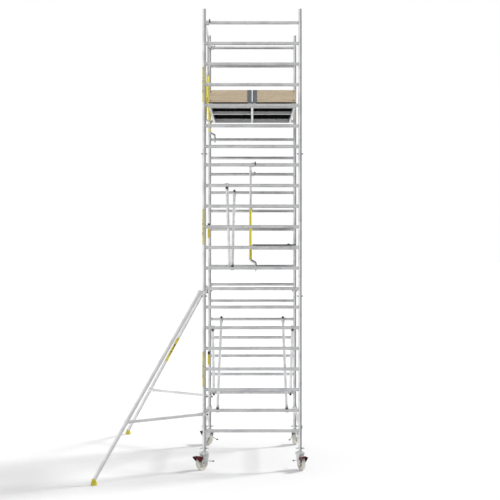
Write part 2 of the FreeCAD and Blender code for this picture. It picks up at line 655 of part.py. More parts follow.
def knuckles(hinge_x, top, wanted):
    """Hinge barrels of one leaf: every second one along the hinge line."""
    near, far = hatch_span()
    count = int((far - near - 2 * HATCH_GAP) // HINGE_KNUCKLE)
    start = (near + far - count * HINGE_KNUCKLE) / 2
    z = top + HINGE_D / 2
    barrels = []
    for index in range(wanted, count, 2):
        y0 = start + index * HINGE_KNUCKLE + RUNNING_GAP
        y1 = start + (index + 1) * HINGE_KNUCKLE - RUNNING_GAP
        barrels.append((y0, y1, rod(Vector(hinge_x, y0, z), Vector(hinge_x, y1, z), HINGE_D)))
    return barrels


def hinge_leaf(hinge_x, top, wanted, side):
    """Leaf plates and their barrels on one side of the hinge line."""
    pieces = []
    for y0, y1, barrel in knuckles(hinge_x, top, wanted):
        pieces.append(barrel)
        pieces.append(block(hinge_x, hinge_x + side * HINGE_LEAF_WIDTH, y0, y1, top, top + HINGE_LEAF))
    return pieces


def deck_board(x0, z, hatch):
    """Deck board, and with a hatch also its fixed hinge leaves and the hinge pin."""
    low = z + BOARD_RISE
    top = low + BOARD_THICKNESS
    board = block(x0, x0 + DECK_WIDTH, -HALF_BAY + BOARD_END, HALF_BAY - BOARD_END, low, top)
    if not hatch:
        return [board]
    hatch0, hinge_x = hinge_line(x0)
    near, far = hatch_span()
    board = board.cut(block(hatch0, hinge_x, near, far, low, top))
    z_pin = top + HINGE_D / 2
    pin = rod(Vector(hinge_x, near, z_pin), Vector(hinge_x, far, z_pin), HINGE_PIN_D)
    return [fused(board, *hinge_leaf(hinge_x, top, 0, 1)).cut(pin), pin]


def trapdoor(x0, z):
    """Hatch lid with its own hinge leaves, turning about the deck's hinge pin."""
    low = z + BOARD_RISE
    top = low + BOARD_THICKNESS
    hatch0, hinge_x = hinge_line(x0)
    near, far = hatch_span()
    lid = block(hatch0 + HATCH_GAP, hinge_x - HATCH_GAP, near + HATCH_GAP, far - HATCH_GAP, low, top)
    z_pin = top + HINGE_D / 2
    bore = rod(Vector(hinge_x, near, z_pin), Vector(hinge_x, far, z_pin), HINGE_PIN_D + 2 * RUNNING_GAP)
    return [fused(lid, *hinge_leaf(hinge_x, top, 1, -1)).cut(bore)]


TOP_DECK_Z = rung_z(2, DECK_RUNG)
MID_DECK_Z = rung_z(1, DECK_RUNG)
LEFT_DECK_X = -DECK_GAP / 2 - DECK_WIDTH
RIGHT_DECK_X = DECK_GAP / 2
# name, left edge, rung height, has a trapdoor
DECKS = (("top_left", LEFT_DECK_X, TOP_DECK_Z, False), ("top_right", RIGHT_DECK_X, TOP_DECK_Z, True),
         ("middle", RIGHT_DECK_X, MID_DECK_Z, True))


def deck_nodes():
    """Frames and boards of the three platforms, and the two trapdoors."""
    nodes = {}
    for name, x0, z, hatch in DECKS:
        nodes["deck_frame_" + name] = deck_frame(x0, z)
        nodes["deck_board_" + name] = deck_board(x0, z, hatch)
        if hatch:
            nodes["trapdoor_" + name] = trapdoor(x0, z)
    return nodes


# ---------------------------------------------------------------- toe boards
TOE_LOW = TOP_DECK_Z + BOARD_RISE + BOARD_THICKNESS
TOE_TOP = TOE_LOW + TOE_HEIGHT
TOE_FACE = HALF_BAY - BOARD_END          # outer face of the end boards
TOE_SIDE = DECK_WIDTH + DECK_GAP / 2     # outer face of the side boards


def toe_boards_end():
    """Two boards side by side at each end of the top decks."""
    boards = []
    for along in (-1, 1):
        for across in (-1, 1):
            inner = across * (DECK_GAP / 2 + TOE_CENTRE_MARGIN)
            boards.append(block(inner, across * TOE_SIDE, along * TOE_FACE, along * (TOE_FACE - TOE_THICKNESS),
                                TOE_LOW, TOE_TOP))
    return boards


def toe_boards_side():
    """One long board down each side of the top decks."""
    end = TOE_FACE - TOE_THICKNESS
    return [block(across * TOE_SIDE, across * (TOE_SIDE - TOE_THICKNESS), -end, end, TOE_LOW, TOE_TOP)
            for across in (-1, 1)]


def toe_bolt(at, outward):
    """Bolt head that stands on a bracket plate."""
    return rod(at, at + outward * TOE_BOLT_HEAD, TOE_BOLT_D)


def toe_brackets():
    """Middle plates and corner angles that hold the boards, with their bolt heads."""
    solids = []
    low = TOE_LOW - BOARD_THICKNESS
    bolt_heights = (TOE_LOW + TOE_BOLT_INSET, TOE_TOP - TOE_BOLT_INSET)
    face = TOE_FACE + TOE_PLATE
    for along in (-1, 1):
        outward = ALONG * along
        for across in (-1, 1):
            inner = DECK_GAP / 2 + TOE_CENTRE_MARGIN
            plate = block(across * (inner - TOE_PLATE_WIDTH), across * (inner + TOE_BOLT_D),
                          along * TOE_FACE, along * face, low, TOE_TOP)
            solids.append(plate)
            for z in bolt_heights:
                x = across * (inner - TOE_PLATE_WIDTH / 2)
                solids.append(toe_bolt(Vector(x, along * face, z), outward))
            x = across * (TOE_SIDE - TOE_THICKNESS)
            y = along * (TOE_FACE - TOE_THICKNESS)
            leg = block(x, x - across * TOE_ANGLE, y, y - along * TOE_PLATE, TOE_LOW, TOE_TOP)
            wing = block(x, x - across * TOE_PLATE, y, y - along * TOE_ANGLE, TOE_LOW, TOE_TOP)
            solids.append(fused(leg, wing))
            for z in bolt_heights:
                end_at = Vector(across * (TOE_SIDE - TOE_CORNER_INSET), along * TOE_FACE, z)
                solids.append(toe_bolt(end_at, outward))
                side_at = Vector(across * TOE_SIDE, y - along * TOE_CORNER_INSET, z)
                solids.append(toe_bolt(side_at, ACROSS * across))
    return solids


# ---------------------------------------------------------------- guardrail units
def guard_claw(plane, y, z, inward):
    """Top claw: ring round the rung, block beside it, socket of the rail, plate of the lever."""
    x0 = plane + GUARD_CLAW_START
    x1 = x0 + GUARD_CLAW_WIDTH
    ring_r = RUNG_R + CLAW_WALL
    ring = rod(Vector(x0, y, z), Vector(x1, y, z), 2 * ring_r)
    grip = rod(Vector(x0 - 1, y, z), Vector(x1 + 1, y, z), RUNG_OD)
    mouth = block(x0 - 1, x1 + 1, y - MOUTH / 2, y + MOUTH / 2, z, z - 2 * ring_r)
    half = GUARD_RAIL_OD / 2 + GUARD_SOCKET_WALL
    face = y + inward * (STILE_R + GUARD_BLOCK_GAP)
    back = face + inward * GUARD_BLOCK
    body = block(plane - half, x1, face, back, z - half, z + half)
    bridge = block(x0, x1, y, face, z, z + half)
    socket = rod(Vector(plane, back, z), Vector(plane, back + inward * GUARD_SOCKET_LENGTH, z), 2 * half)
    lever_x = plane + LEVER_OFFSET
    plate = block(x0, lever_x + LEVER_WIDTH / 2, y - inward * (ring_r - LEVER_PLATE), y - inward * ring_r,
                  z - LEVER_WIDTH / 2, z + LEVER_WIDTH / 2)
    shell = fused(ring, body, bridge, socket, plate).cut(grip).cut(mouth)
    seat = rod(Vector(plane, back, z), Vector(plane, back + inward * GUARD_SOCKET_LENGTH, z), GUARD_RAIL_OD)
    stub_at = Vector(lever_x, y - inward * (ring_r - LEVER_PLATE), z)
    stub_end = stub_at - ALONG * (inward * (LEVER_PLATE + 2 * RUNNING_GAP + LEVER_THICKNESS + LEVER_PIN_END))
    return fused(shell.cut(seat), rod(stub_at, stub_end, LEVER_PIN_D))


def guard_lever(plane, y, z, inward):
    """Turn lever outside a top claw, its pin nearer its lower end."""
    x = plane + LEVER_OFFSET
    ring_r = RUNG_R + CLAW_WALL
    y0 = y - inward * (ring_r + 2 * RUNNING_GAP)
    y1 = y0 - inward * LEVER_THICKNESS
    straight = (LEVER_HEIGHT - LEVER_WIDTH) / 2
    low = z + LEVER_RISE - straight
    high = z + LEVER_RISE + straight
    bar = block(x - LEVER_WIDTH / 2, x + LEVER_WIDTH / 2, y0, y1, low, high)
    ends = [rod(Vector(x, y0, end), Vector(x, y1, end), LEVER_WIDTH) for end in (low, high)]
    hole = rod(Vector(x, y0 + inward, z), Vector(x, y1 - inward, z), LEVER_PIN_D + 2 * RUNNING_GAP)
    return fused(bar, *ends).cut(hole)


def guard_tail(plane, along, low_z):
    """Cranked tail under a leg, and the open hook that it ends in."""
    start = Vector(plane, along * (HALF_BAY - GUARD_FOOT_INSET), low_z + GUARD_FOOT_RISE)
    hook_x = plane + GUARD_HOOK_OFFSET
    rung = Vector(hook_x, along * HALF_BAY, low_z)
    knee = Vector(plane + GUARD_HOOK_OFFSET * GUARD_KNEE_SHARE, start.y + along * GUARD_KNEE_RUN,
                  start.z - GUARD_KNEE_DROP)
    shin = Vector(hook_x, knee.y + along * GUARD_SHIN_RUN, knee.z - GUARD_SHIN_DROP)
    route = [start, knee, shin, rung]
    pieces = [rod(a, b, GUARD_TAIL_OD) for a, b in zip(route, route[1:])]
    pieces.extend(Part.makeSphere(GUARD_TAIL_OD / 2, joint) for joint in route[1:-1])
    half = GUARD_HOOK_WIDTH / 2
    ring_d = RUNG_OD + 2 * CLAW_WALL
    ring = rod(rung - ACROSS * half, rung + ACROSS * half, ring_d)
    grip = rod(rung - ACROSS * (2 * half), rung + ACROSS * (2 * half), RUNG_OD)
    mouth = block(hook_x - 2 * half, hook_x + 2 * half, rung.y - MOUTH / 2, rung.y + MOUTH / 2,
                  low_z, low_z - ring_d)
    return fused(*pieces, ring).cut(grip).cut(mouth)


def guard_pin(plane, along, low_z):
    """Dark sprung pin that closes a tail hook from below."""
    x = plane + GUARD_HOOK_OFFSET
    y = along * HALF_BAY
    grip = rod(Vector(x - MOUTH, y, low_z), Vector(x + MOUTH, y, low_z), RUNG_OD)
    half = GUARD_KEEPER / 2
    keeper = block(x - half, x + half, y - MOUTH / 2, y + MOUTH / 2, low_z, low_z - RUNG_R - CLAW_WALL)
    stem_top = low_z - RUNG_R - LATCH_LAP
    stem = rod(Vector(x, y, stem_top), Vector(x, y, stem_top - GUARD_STEM_LENGTH), GUARD_STEM_D)
    return fused(keeper, stem).cut(grip)


def guard_unit(name, plane, level):
    """One guardrail unit: frame, yellow legs and the levers of its two claws."""
    top_z = rung_z(level, GUARD_TOP_RUNG)
    low_z = rung_z(level, GUARD_LOW_RUNG)
    knee_z = top_z - GUARD_KNEE
    rail_end = HALF_BAY - STILE_R - GUARD_BLOCK_GAP - GUARD_BLOCK
    rail = tube(Vector(plane, -rail_end, top_z), Vector(plane, rail_end, top_z), GUARD_RAIL_OD, GUARD_WALL)
    post = tube(Vector(plane, 0, knee_z + GUARD_CONE_HEIGHT), Vector(plane, 0, top_z), GUARD_POST_OD, GUARD_WALL)
    whole_rail = rod(Vector(plane, -rail_end, top_z), Vector(plane, rail_end, top_z), GUARD_RAIL_OD)
    cone_top = GUARD_POST_OD / 2 + GUARD_CONE_LIP
    cone = Part.makeCone(GUARD_CONE_D / 2, cone_top, GUARD_CONE_HEIGHT, Vector(plane, 0, knee_z))
    frame = [rail, post.cut(whole_rail)]
    legs = []
    levers = {}
    for end, along in (("near", -1), ("far", 1)):
        foot = Vector(plane, along * (HALF_BAY - GUARD_FOOT_INSET), low_z + GUARD_FOOT_RISE)
        head = Vector(plane, along * GUARD_LEG_START, knee_z)
        leg = tube(head, foot, GUARD_RAIL_OD, GUARD_WALL)
        side = block(plane - GUARD_CONE_D, plane + GUARD_CONE_D, along * GUARD_LEG_GAP, along * HALF_BAY,
                     low_z, knee_z + GUARD_CONE_HEIGHT)
        tail = guard_tail(plane, along, low_z)
        legs.append(leg.cut(cone).common(side).cut(tail))
        frame.extend([guard_claw(plane, along * HALF_BAY, top_z, -along), tail, guard_pin(plane, along, low_z)])
        levers["guardrail_lever_" + name + "_" + end] = [guard_lever(plane, along * HALF_BAY, top_z, -along)]
    frame.append(cone)
    nodes = {"guardrail_frame_" + name: frame, "guardrail_legs_" + name: legs}
    nodes.update(levers)
    return nodes


# ---------------------------------------------------------------- stabilisers
# Each stabiliser is modelled with its stile axis on Z and its leg along +X.
STAB_TOP_Z = BASE_Z + FRAME_PITCH + LOCK_PIN_RISE + STAB_TOP_RISE
STAB_LOW_Z = rung_z(0, 2) - STAB_LOW_DROP
STAB_HEAD = Vector(STAB_STANDOFF, 0, STAB_TOP_Z)
STAB_FOOT = Vector(STAB_REACH, 0, FOOT_HEIGHT)
STAB_RUN = (STAB_FOOT - STAB_HEAD).normalize()


def stile_ring(z, solid_core):
    """Swivelling coupler ring on a stile, or the stile-sized space inside it."""
    half = STAB_COUPLER_HEIGHT / 2
    inner_d = STILE_OD + 2 * RUNNING_GAP
    if solid_core:
        return rod(Vector(0, 0, z - 2 * half), Vector(0, 0, z + 2 * half), inner_d)
    return rod(Vector(0, 0, z - half), Vector(0, 0, z + half), STILE_OD + 2 * STAB_COUPLER_WALL)


def stabiliser_foot():
    """Rubber foot with a ball top that holds the end of the leg."""
    x = STAB_FOOT.x
    r = FOOT_D / 2
    profile = [(0, 0), (r - FOOT_SOLE_CHAMFER, 0), (r, FOOT_SOLE_HEIGHT), (r, FOOT_RIM_HEIGHT),
               (r - FOOT_NECK_INSET, FOOT_NECK_HEIGHT), (0, FOOT_BASE_HEIGHT)]
    base = turned(profile, Vector(x, 0, 0), UP)
    ball = Part.makeSphere(FOOT_BALL_D / 2, Vector(x, 0, FOOT_HEIGHT - FOOT_BALL_DROP))
    return fused(base, ball)


def stabiliser_leg():
    """Leg tube and, as a second solid, the upper coupler that it hangs from."""
    start = STAB_HEAD - STAB_RUN * STAB_LEG_HEAD
    leg = tube(start, STAB_FOOT, STAB_LEG_OD, STAB_LEG_WALL).cut(stabiliser_foot())
    half = STAB_RUN * (STAB_CLAMP_LENGTH / 2)
    clamp = rod(STAB_HEAD - half, STAB_HEAD + half, STAB_LEG_OD + 2 * STAB_CLAMP_WALL)
    lug = block(STILE_R, STAB_STANDOFF, -STAB_LUG_WIDTH / 2, STAB_LUG_WIDTH / 2,
                STAB_TOP_Z - STAB_LUG_LOW, STAB_TOP_Z + STAB_LUG_HIGH)
    bore = rod(STAB_HEAD - half * 2, STAB_HEAD + half * 2, STAB_LEG_OD)
    coupler = fused(stile_ring(STAB_TOP_Z, False), lug, clamp).cut(stile_ring(STAB_TOP_Z, True)).cut(bore)
    return [leg, coupler]


def stabiliser_arm():
    """Lower arm between the leg and the lower coupler: tube, coupler and leg clamp."""
    share = (STAB_LOW_Z - STAB_HEAD.z) / (STAB_FOOT.z - STAB_HEAD.z)
    on_leg = STAB_HEAD + (STAB_FOOT - STAB_HEAD) * share
    root = Vector(STAB_ARM_ROOT, 0, STAB_LOW_Z)
    tip = on_leg - ACROSS * STAB_ARM_ROOT
    bar = tube(root, tip, BRACE_OD, BRACE_WALL)
    near_socket = rod(Vector(0, 0, STAB_LOW_Z), Vector(STAB_ARM_SOCKET, 0, STAB_LOW_Z), SOCKET_D)
    near_seat = rod(root, Vector(STAB_ARM_SOCKET, 0, STAB_LOW_Z), BRACE_OD)
    coupler = fused(stile_ring(STAB_LOW_Z, False), near_socket.common(block(
        STILE_R, STAB_ARM_SOCKET, -SOCKET_D, SOCKET_D, STAB_LOW_Z - SOCKET_D, STAB_LOW_Z + SOCKET_D)))
    half = STAB_RUN * (STAB_CLAMP_LENGTH / 2)
    clamp = rod(on_leg - half, on_leg + half, STAB_LEG_OD + 2 * STAB_CLAMP_WALL)
    far_socket = rod(on_leg - ACROSS * STAB_ARM_SOCKET, on_leg, SOCKET_D)
    far_seat = rod(on_leg - ACROSS * STAB_ARM_SOCKET, tip, BRACE_OD)
    bore = rod(on_leg - half * 2, on_leg + half * 2, STAB_LEG_OD)
    return [bar, coupler.cut(stile_ring(STAB_LOW_Z, True)).cut(near_seat),
            fused(clamp, far_socket).cut(bore).cut(far_seat)]


def stabiliser_nodes():
    """Both wall-side stabilisers, one at each end of the left side."""
    nodes = {}
    for name, along in (("near", -1), ("far", 1)):
        heading = 180 - along * STAB_SWING
        y = along * HALF_BAY
        parts = {"leg": stabiliser_leg(), "arm": stabiliser_arm(), "foot": [stabiliser_foot()]}
        for piece, solids in parts.items():
            nodes["stabiliser_" + piece + "_" + name] = [placed(s, heading, -HALF_WIDTH, y) for s in solids]
    return nodes


# ---------------------------------------------------------------- assembly
def assembly():
    """Every node of the tower as a list of solids, about the middle of the tower."""
    nodes = {}
    for end, along in (("near", -1), ("far", 1)):
        for level in range(LEVELS):
            nodes["end_frame_" + end + "_" + LEVEL_NAMES[level]] = end_frame(along * HALF_BAY, level)
    nodes["frame_lock_pins"] = lock_pins()
    for name, across, along, turn in CORNERS:
        nodes.update(corner_nodes(name, across, along, turn))
    nodes["horizontal_braces"] = horizontal_braces()
    nodes.update(diagonal_nodes())
    nodes.update(deck_nodes())
    nodes["toe_boards_end"] = toe_boards_end()
    nodes["toe_boards_side"] = toe_boards_side()
    nodes["toe_board_brackets"] = toe_brackets()
    nodes.update(guard_unit("left", GUARD_LEFT_X, 2))
    nodes.update(guard_unit("centre", GUARD_CENTRE_X, 1))
    nodes.update(stabiliser_nodes())
    return nodes


NODES = assembly()
BOX = FreeCAD.BoundBox()
for solids in NODES.values():
    for solid in solids:
        BOX.add(solid.optimalBoundingBox(False, False))
SHIFT = Vector(-BOX.Center.x, -BOX.Center.y, -BOX.ZMin)

os.makedirs("parts", exist_ok=True)
for node, solids in NODES.items():
    for solid in solids:
        solid.translate(SHIFT)
    shape = solids[0] if len(solids) == 1 else Part.makeCompound(solids)
    shape.exportStep("parts/" + node + ".step")
print(len(NODES), "nodes; tower middle at", [round(v, 2) for v in SHIFT])
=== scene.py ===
# %% [markdown]
# # A mobile tower scaffold
# Three ladder frames are stacked at each end of an aluminium tower on casters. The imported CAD
# model gives every tube, board and casting its place, so this script leaves those alone. It gives
# each one its finish, and adds the small pieces that a maker adds by hand.

# %% Load the frame
import math
import bpy
from mathutils import Matrix, Vector


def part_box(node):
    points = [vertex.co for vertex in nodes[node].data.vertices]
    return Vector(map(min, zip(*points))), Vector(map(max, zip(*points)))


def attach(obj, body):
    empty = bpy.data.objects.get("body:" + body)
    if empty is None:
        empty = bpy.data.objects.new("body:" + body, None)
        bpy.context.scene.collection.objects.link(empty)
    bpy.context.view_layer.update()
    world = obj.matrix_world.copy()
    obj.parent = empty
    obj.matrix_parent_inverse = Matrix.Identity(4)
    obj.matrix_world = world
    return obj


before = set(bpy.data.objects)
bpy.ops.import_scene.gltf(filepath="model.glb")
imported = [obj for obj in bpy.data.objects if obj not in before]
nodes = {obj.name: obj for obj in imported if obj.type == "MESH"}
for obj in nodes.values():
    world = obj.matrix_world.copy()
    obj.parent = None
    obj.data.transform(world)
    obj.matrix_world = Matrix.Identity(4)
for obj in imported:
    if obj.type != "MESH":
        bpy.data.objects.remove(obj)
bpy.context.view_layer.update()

# %% [markdown]
# ## Places on the tower
# Everything is measured from the CAD nodes, so the pieces made here follow the model if its sizes
# change. The stiles are the upright tubes of the end frames, and the rungs lie between them.

# %% Measure the tower
near_low, near_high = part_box("end_frame_near_base")
far_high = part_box("end_frame_far_base")[1]
STILE_R = (near_high.y - near_low.y) / 2
LEFT, RIGHT = near_low.x + STILE_R, near_high.x - STILE_R
NEAR, FAR = near_low.y + STILE_R, far_high.y - STILE_R
MIDDLE = (LEFT + RIGHT) / 2
BASE = near_low.z
FRAME_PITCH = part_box("end_frame_near_mid")[1].z - near_high.z
RUNG_R = 0.022
RUNG_PITCH = 0.28
FIRST_RUNG = 0.223
RUNGS = 7
LEVELS = ("base", "mid", "top")


def rung_z(level, rung):
    """Height of a rung's axis. Levels count from 0 and rungs from 1."""
    return BASE + level * FRAME_PITCH + FIRST_RUNG + (rung - 1) * RUNG_PITCH


print("stiles at x", round(LEFT, 4), round(RIGHT, 4), "and y", round(NEAR, 4), round(FAR, 4))
print("frames are", round(FRAME_PITCH, 4), "apart, and the top rung is at", round(rung_z(2, 7), 4))

# %% [markdown]
# ## Effects that several finishes share
# Drawn tube has fine lines along its length, handled metal has duller patches, and dust settles on
# faces that look up. Each effect is a node group with named sockets, built once and placed in each
# finish with its own values. They put out plain masks, so each finish keeps its own shader.

# %% Node helpers
def new_group(name, inputs, outputs):
    """An empty shader node group. Inputs and outputs are (name, socket type, default)."""
    group = bpy.data.node_groups.new(name, "ShaderNodeTree")
    for label, kind, value in inputs:
        socket = group.interface.new_socket(label, in_out="INPUT", socket_type=kind)
        socket.default_value = value
    for label, kind in outputs:
        group.interface.new_socket(label, in_out="OUTPUT", socket_type=kind)
    return group, group.nodes.new("NodeGroupInput"), group.nodes.new("NodeGroupOutput")


def add(tree, kind, inputs=(), **settings):
    """A node with its settings, and with values or links for the inputs that are named."""
    made = tree.nodes.new(kind)
    for key, value in settings.items():
        setattr(made, key, value)
    for key, value in dict(inputs).items():
        if isinstance(value, bpy.types.NodeSocket):
            tree.links.new(value, made.inputs[key])
        else:
            made.inputs[key].default_value = value
    return made


def mixed(tree, factor, first, second):
    """A colour mixed from two by a mask, as an output socket."""
    mix = add(tree, "ShaderNodeMix", {0: factor, 6: first, 7: second}, data_type="RGBA")
    return mix.outputs[2]


def between(tree, value, low_in, high_in, low_out=0.0, high_out=1.0):
    """A value carried from one range to another and kept inside it."""
    ranges = {"From Min": low_in, "From Max": high_in, "To Min": low_out, "To Max": high_out}
    return add(tree, "ShaderNodeMapRange", {"Value": value, **ranges}).outputs[0]


# %% [markdown]
# ### Drawn lines
# A die leaves faint lines along a tube. Noise stretched along one axis gives them, so the group
# takes a stretch of its own for tubes that stand, cross or run along the tower.

# %% Drawn lines group
vector, number = "NodeSocketVector", "NodeSocketFloat"
drawn, group_in, group_out = new_group(
    "drawn_lines", [("Stretch", vector, (1, 1, 1))], [("Line", number), ("Patch", number)])
place = add(drawn, "ShaderNodeTexCoord").outputs["Object"]
stretched = add(drawn, "ShaderNodeVectorMath", {0: place, 1: group_in.outputs[0]},
                operation="MULTIPLY")
fine = add(drawn, "ShaderNodeTexNoise", {
    "Vector": stretched.outputs[0], "Scale": 1.0, "Detail": 2.0})
broad = add(drawn, "ShaderNodeTexNoise", {
    "Vector": place, "Scale": 7.0, "Detail": 4.0, "Roughness": 0.6})
drawn.links.new(fine.outputs[0], group_out.inputs[0])
drawn.links.new(between(drawn, broad.outputs[0], 0.42, 0.62), group_out.inputs[1])
print("drawn_lines puts out", [s.name for s in group_out.inputs if s.name])

# %% [markdown]
# ### Settled dust
# Dust lies on faces that look up, in uneven patches. The face normal's height gives where, and
# noise breaks it up.

# %% Settled dust group
dusty, group_in, group_out = new_group(
    "settled_dust", [("Amount", number, 0.3)], [("Dust", number)])
facing = add(dusty, "ShaderNodeSeparateXYZ", {
    0: add(dusty, "ShaderNodeNewGeometry").outputs["Normal"]})
patchy = add(dusty, "ShaderNodeTexNoise", {
    "Vector": add(dusty, "ShaderNodeTexCoord").outputs["Object"], "Scale": 22.0, "Detail": 5.0})
upward = between(dusty, facing.outputs[2], 0.2, 1.0)
broken = between(dusty, patchy.outputs[0], 0.35, 0.65)
layer = add(dusty, "ShaderNodeMath", {0: upward, 1: broken}, operation="MULTIPLY")
amount = add(dusty, "ShaderNodeMath", {0: layer.outputs[0], 1: group_in.outputs[0]},
             operation="MULTIPLY")
dusty.links.new(amount.outputs[0], group_out.inputs[0])
print("settled_dust puts out a mask up to its Amount")

# %% [markdown]
# ### Cast or moulded grain
# Castings, rubber and moulded plastic have a fine even grain, with a few larger rubbed spots.

# %% Grain group
grainy, group_in, group_out = new_group(
    "fine_grain", [("Scale", number, 400.0)], [("Grain", number), ("Rubbed", number)])
place = add(grainy, "ShaderNodeTexCoord").outputs["Object"]
speck = add(grainy, "ShaderNodeTexNoise", {
    "Vector": place, "Scale": group_in.outputs[0], "Detail": 3.0})
spots = add(grainy, "ShaderNodeTexNoise", {"Vector": place, "Scale": 28.0, "Detail": 5.0})
grainy.links.new(speck.outputs[0], group_out.inputs[0])
grainy.links.new(between(grainy, spots.outputs[0], 0.5, 0.68), group_out.inputs[1])
print("fine_grain puts out", [s.name for s in group_out.inputs if s.name])

# %% [markdown]
# ### How every finish starts
# A finish starts as a plain shader, whose even values are set straight on its sockets. The shared
# groups are then placed in front of it, and a bump gives the finest relief.

# %% Start a finish
def new_finish(name, metallic=0.0, coat=0.0, specular=0.5):
    """A material with a plain Principled shader. What is even all over is set on its sockets."""
    material = bpy.data.materials.new(name)
    material.use_nodes = True
    shader = material.node_tree.nodes["Principled BSDF"]
    shader.inputs["Metallic"].default_value = metallic
    shader.inputs["Coat Weight"].default_value = coat
    shader.inputs["Coat Roughness"].default_value = 0.15
    shader.inputs["Specular IOR Level"].default_value = specular
    return material, material.node_tree, shader


def use_group(tree, group, **inputs):
    """A shared effect placed in a finish with its own values."""
    made = tree.nodes.new("ShaderNodeGroup")
    made.node_tree = group
    for key, value in inputs.items():
        made.inputs[key].default_value = value
    return made


def set_relief(tree, shader, height, distance, strength=1.0):
    """Fine relief on a finish, in metres, from a mask."""
    bump = add(tree, "ShaderNodeBump", {
        "Height": height, "Distance": distance, "Strength": strength})
    tree.links.new(bump.outputs[0], shader.inputs["Normal"])


print("a finish can use", [g.name for g in bpy.data.node_groups])


# %% [markdown]
# ## Aluminium tube
# The tubes are mill finish aluminium. They are pale and half bright, with die lines along each
# tube, duller where hands and clamps rub, and a little dust on top. A tube that stands, one that
# crosses and one that runs along the tower differ only in which way the lines run.

# %% Tube finishes
def tube_finish(name, stretch, colour=(0.84, 0.845, 0.855), dull=(0.70, 0.705, 0.72),
                low=0.24, metallic=0.92):
    """Tube metal. The stretch gives the way of its die lines, and low its least roughness."""
    material, tree, shader = new_finish(name, metallic=metallic)
    lines = use_group(tree, drawn, Stretch=stretch)
    dust = use_group(tree, dusty, Amount=0.25)
    bare = mixed(tree, lines.outputs["Patch"], (*colour, 1), (*dull, 1))
    dusted = mixed(tree, dust.outputs[0], bare, (0.62, 0.61, 0.59, 1))
    tree.links.new(dusted, shader.inputs["Base Color"])
    line = between(tree, lines.outputs["Line"], 0.3, 0.7, low, low + 0.1)
    patch = between(tree, lines.outputs["Patch"], 0.0, 1.0, 0.0, 0.1)
    total = add(tree, "ShaderNodeMath", {0: line, 1: patch}, operation="ADD")
    tree.links.new(total.outputs[0], shader.inputs["Roughness"])
    set_relief(tree, shader, lines.outputs["Line"], 0.0002, 0.4)
    return material


upright_tube = tube_finish("tube_upright", (700, 700, 4))
across_tube = tube_finish("tube_across", (4, 700, 700))
along_tube = tube_finish("tube_along", (700, 4, 700))
pale_tube = tube_finish("tube_brushed_pale", (60, 60, 60), (0.90, 0.90, 0.91),
                        (0.80, 0.80, 0.81), low=0.38, metallic=0.55)
# A darker, duller copy of the tube metal, a painted shade for the deck beams' faces that look along
# the tower.
beam_painted_shade = tube_finish("beam_painted_shade", (4, 300, 300), (0.58, 0.585, 0.59),
                         (0.50, 0.505, 0.51), low=0.5, metallic=0.25)
print("tube finishes:", upright_tube.name, across_tube.name, along_tube.name)

# %% [markdown]
# ## Castings, zinc and painted pieces
# The claws and couplers are tumbled castings, paler and duller than the tubes. Spindles and forks
# are zinc plated steel. Painted and moulded pieces are not metal, and show a grain and rubbed
# spots.

# %% Cast and plated finishes
def grain_finish(name, colour, worn, metallic, low, high, scale, relief,
                 dust=0.2, coat=0.0, specular=0.5):
    """A finish with an even grain. Its roughness lies from low to high, its relief is in metres."""
    material, tree, shader = new_finish(name, metallic, coat, specular)
    grain = use_group(tree, grainy, Scale=scale)
    settled = use_group(tree, dusty, Amount=dust)
    base = mixed(tree, grain.outputs["Rubbed"], (*colour, 1), (*worn, 1))
    dusted = mixed(tree, settled.outputs[0], base, (0.6, 0.585, 0.56, 1))
    tree.links.new(dusted, shader.inputs["Base Color"])
    dulled = between(tree, grain.outputs["Grain"], 0.3, 0.7, low, high)
    tree.links.new(dulled, shader.inputs["Roughness"])
    set_relief(tree, shader, grain.outputs["Grain"], relief, 0.6)
    return material


casting = grain_finish("cast_aluminium_tumbled", (0.76, 0.765, 0.77), (0.85, 0.85, 0.86),
                       1.0, 0.34, 0.5, 500, 0.0004)
zinc = grain_finish("zinc_plate", (0.78, 0.79, 0.79), (0.68, 0.69, 0.66),
                    1.0, 0.22, 0.38, 160, 0.0001)
black = grain_finish("black_moulding", (0.018, 0.018, 0.02), (0.06, 0.06, 0.065),
                     0.0, 0.4, 0.6, 600, 0.0002)
red = grain_finish("red_paint", (0.075, 0.0025, 0.005), (0.13, 0.008, 0.010),
                   0.0, 0.35, 0.5, 500, 0.0001, 0.04, 0.0, 0.35)
pressed = grain_finish("zinc_pressed", (0.70, 0.715, 0.73), (0.60, 0.615, 0.62),
                       0.45, 0.32, 0.5, 220, 0.0002, 0.1)
plate_grey = grain_finish("plate_galvanised", (0.20, 0.21, 0.235), (0.28, 0.285, 0.30),
                          0.6, 0.4, 0.6, 260, 0.0003, 0.1)
wheel = grain_finish("wheel_nylon", (0.70, 0.68, 0.62), (0.60, 0.57, 0.51),
                     0.0, 0.35, 0.55, 300, 0.0002, 0.3)
yellow = grain_finish("yellow_powder_coat", (0.80, 0.70, 0.02), (0.62, 0.55, 0.03),
                      0.0, 0.3, 0.45, 350, 0.0002, 0.1, 0.2)
rubber = grain_finish("yellow_foot_rubber", (0.66, 0.57, 0.03), (0.45, 0.40, 0.05),
                      0.0, 0.5, 0.7, 260, 0.0006, 0.35)
label_yellow = grain_finish("label_film", (0.70, 0.58, 0.04), (0.58, 0.49, 0.06),
                            0.0, 0.28, 0.4, 700, 0.00005, 0.1, 0.3)
print("grain finishes:", len([m for m in bpy.data.materials if m.use_nodes]))

# %% [markdown]
# ## Deck boards
# Platform boards are plywood faced with black film, with a fine raised mesh for grip. Two crossed
# waves give the mesh, and scuffs show the paler film under it.

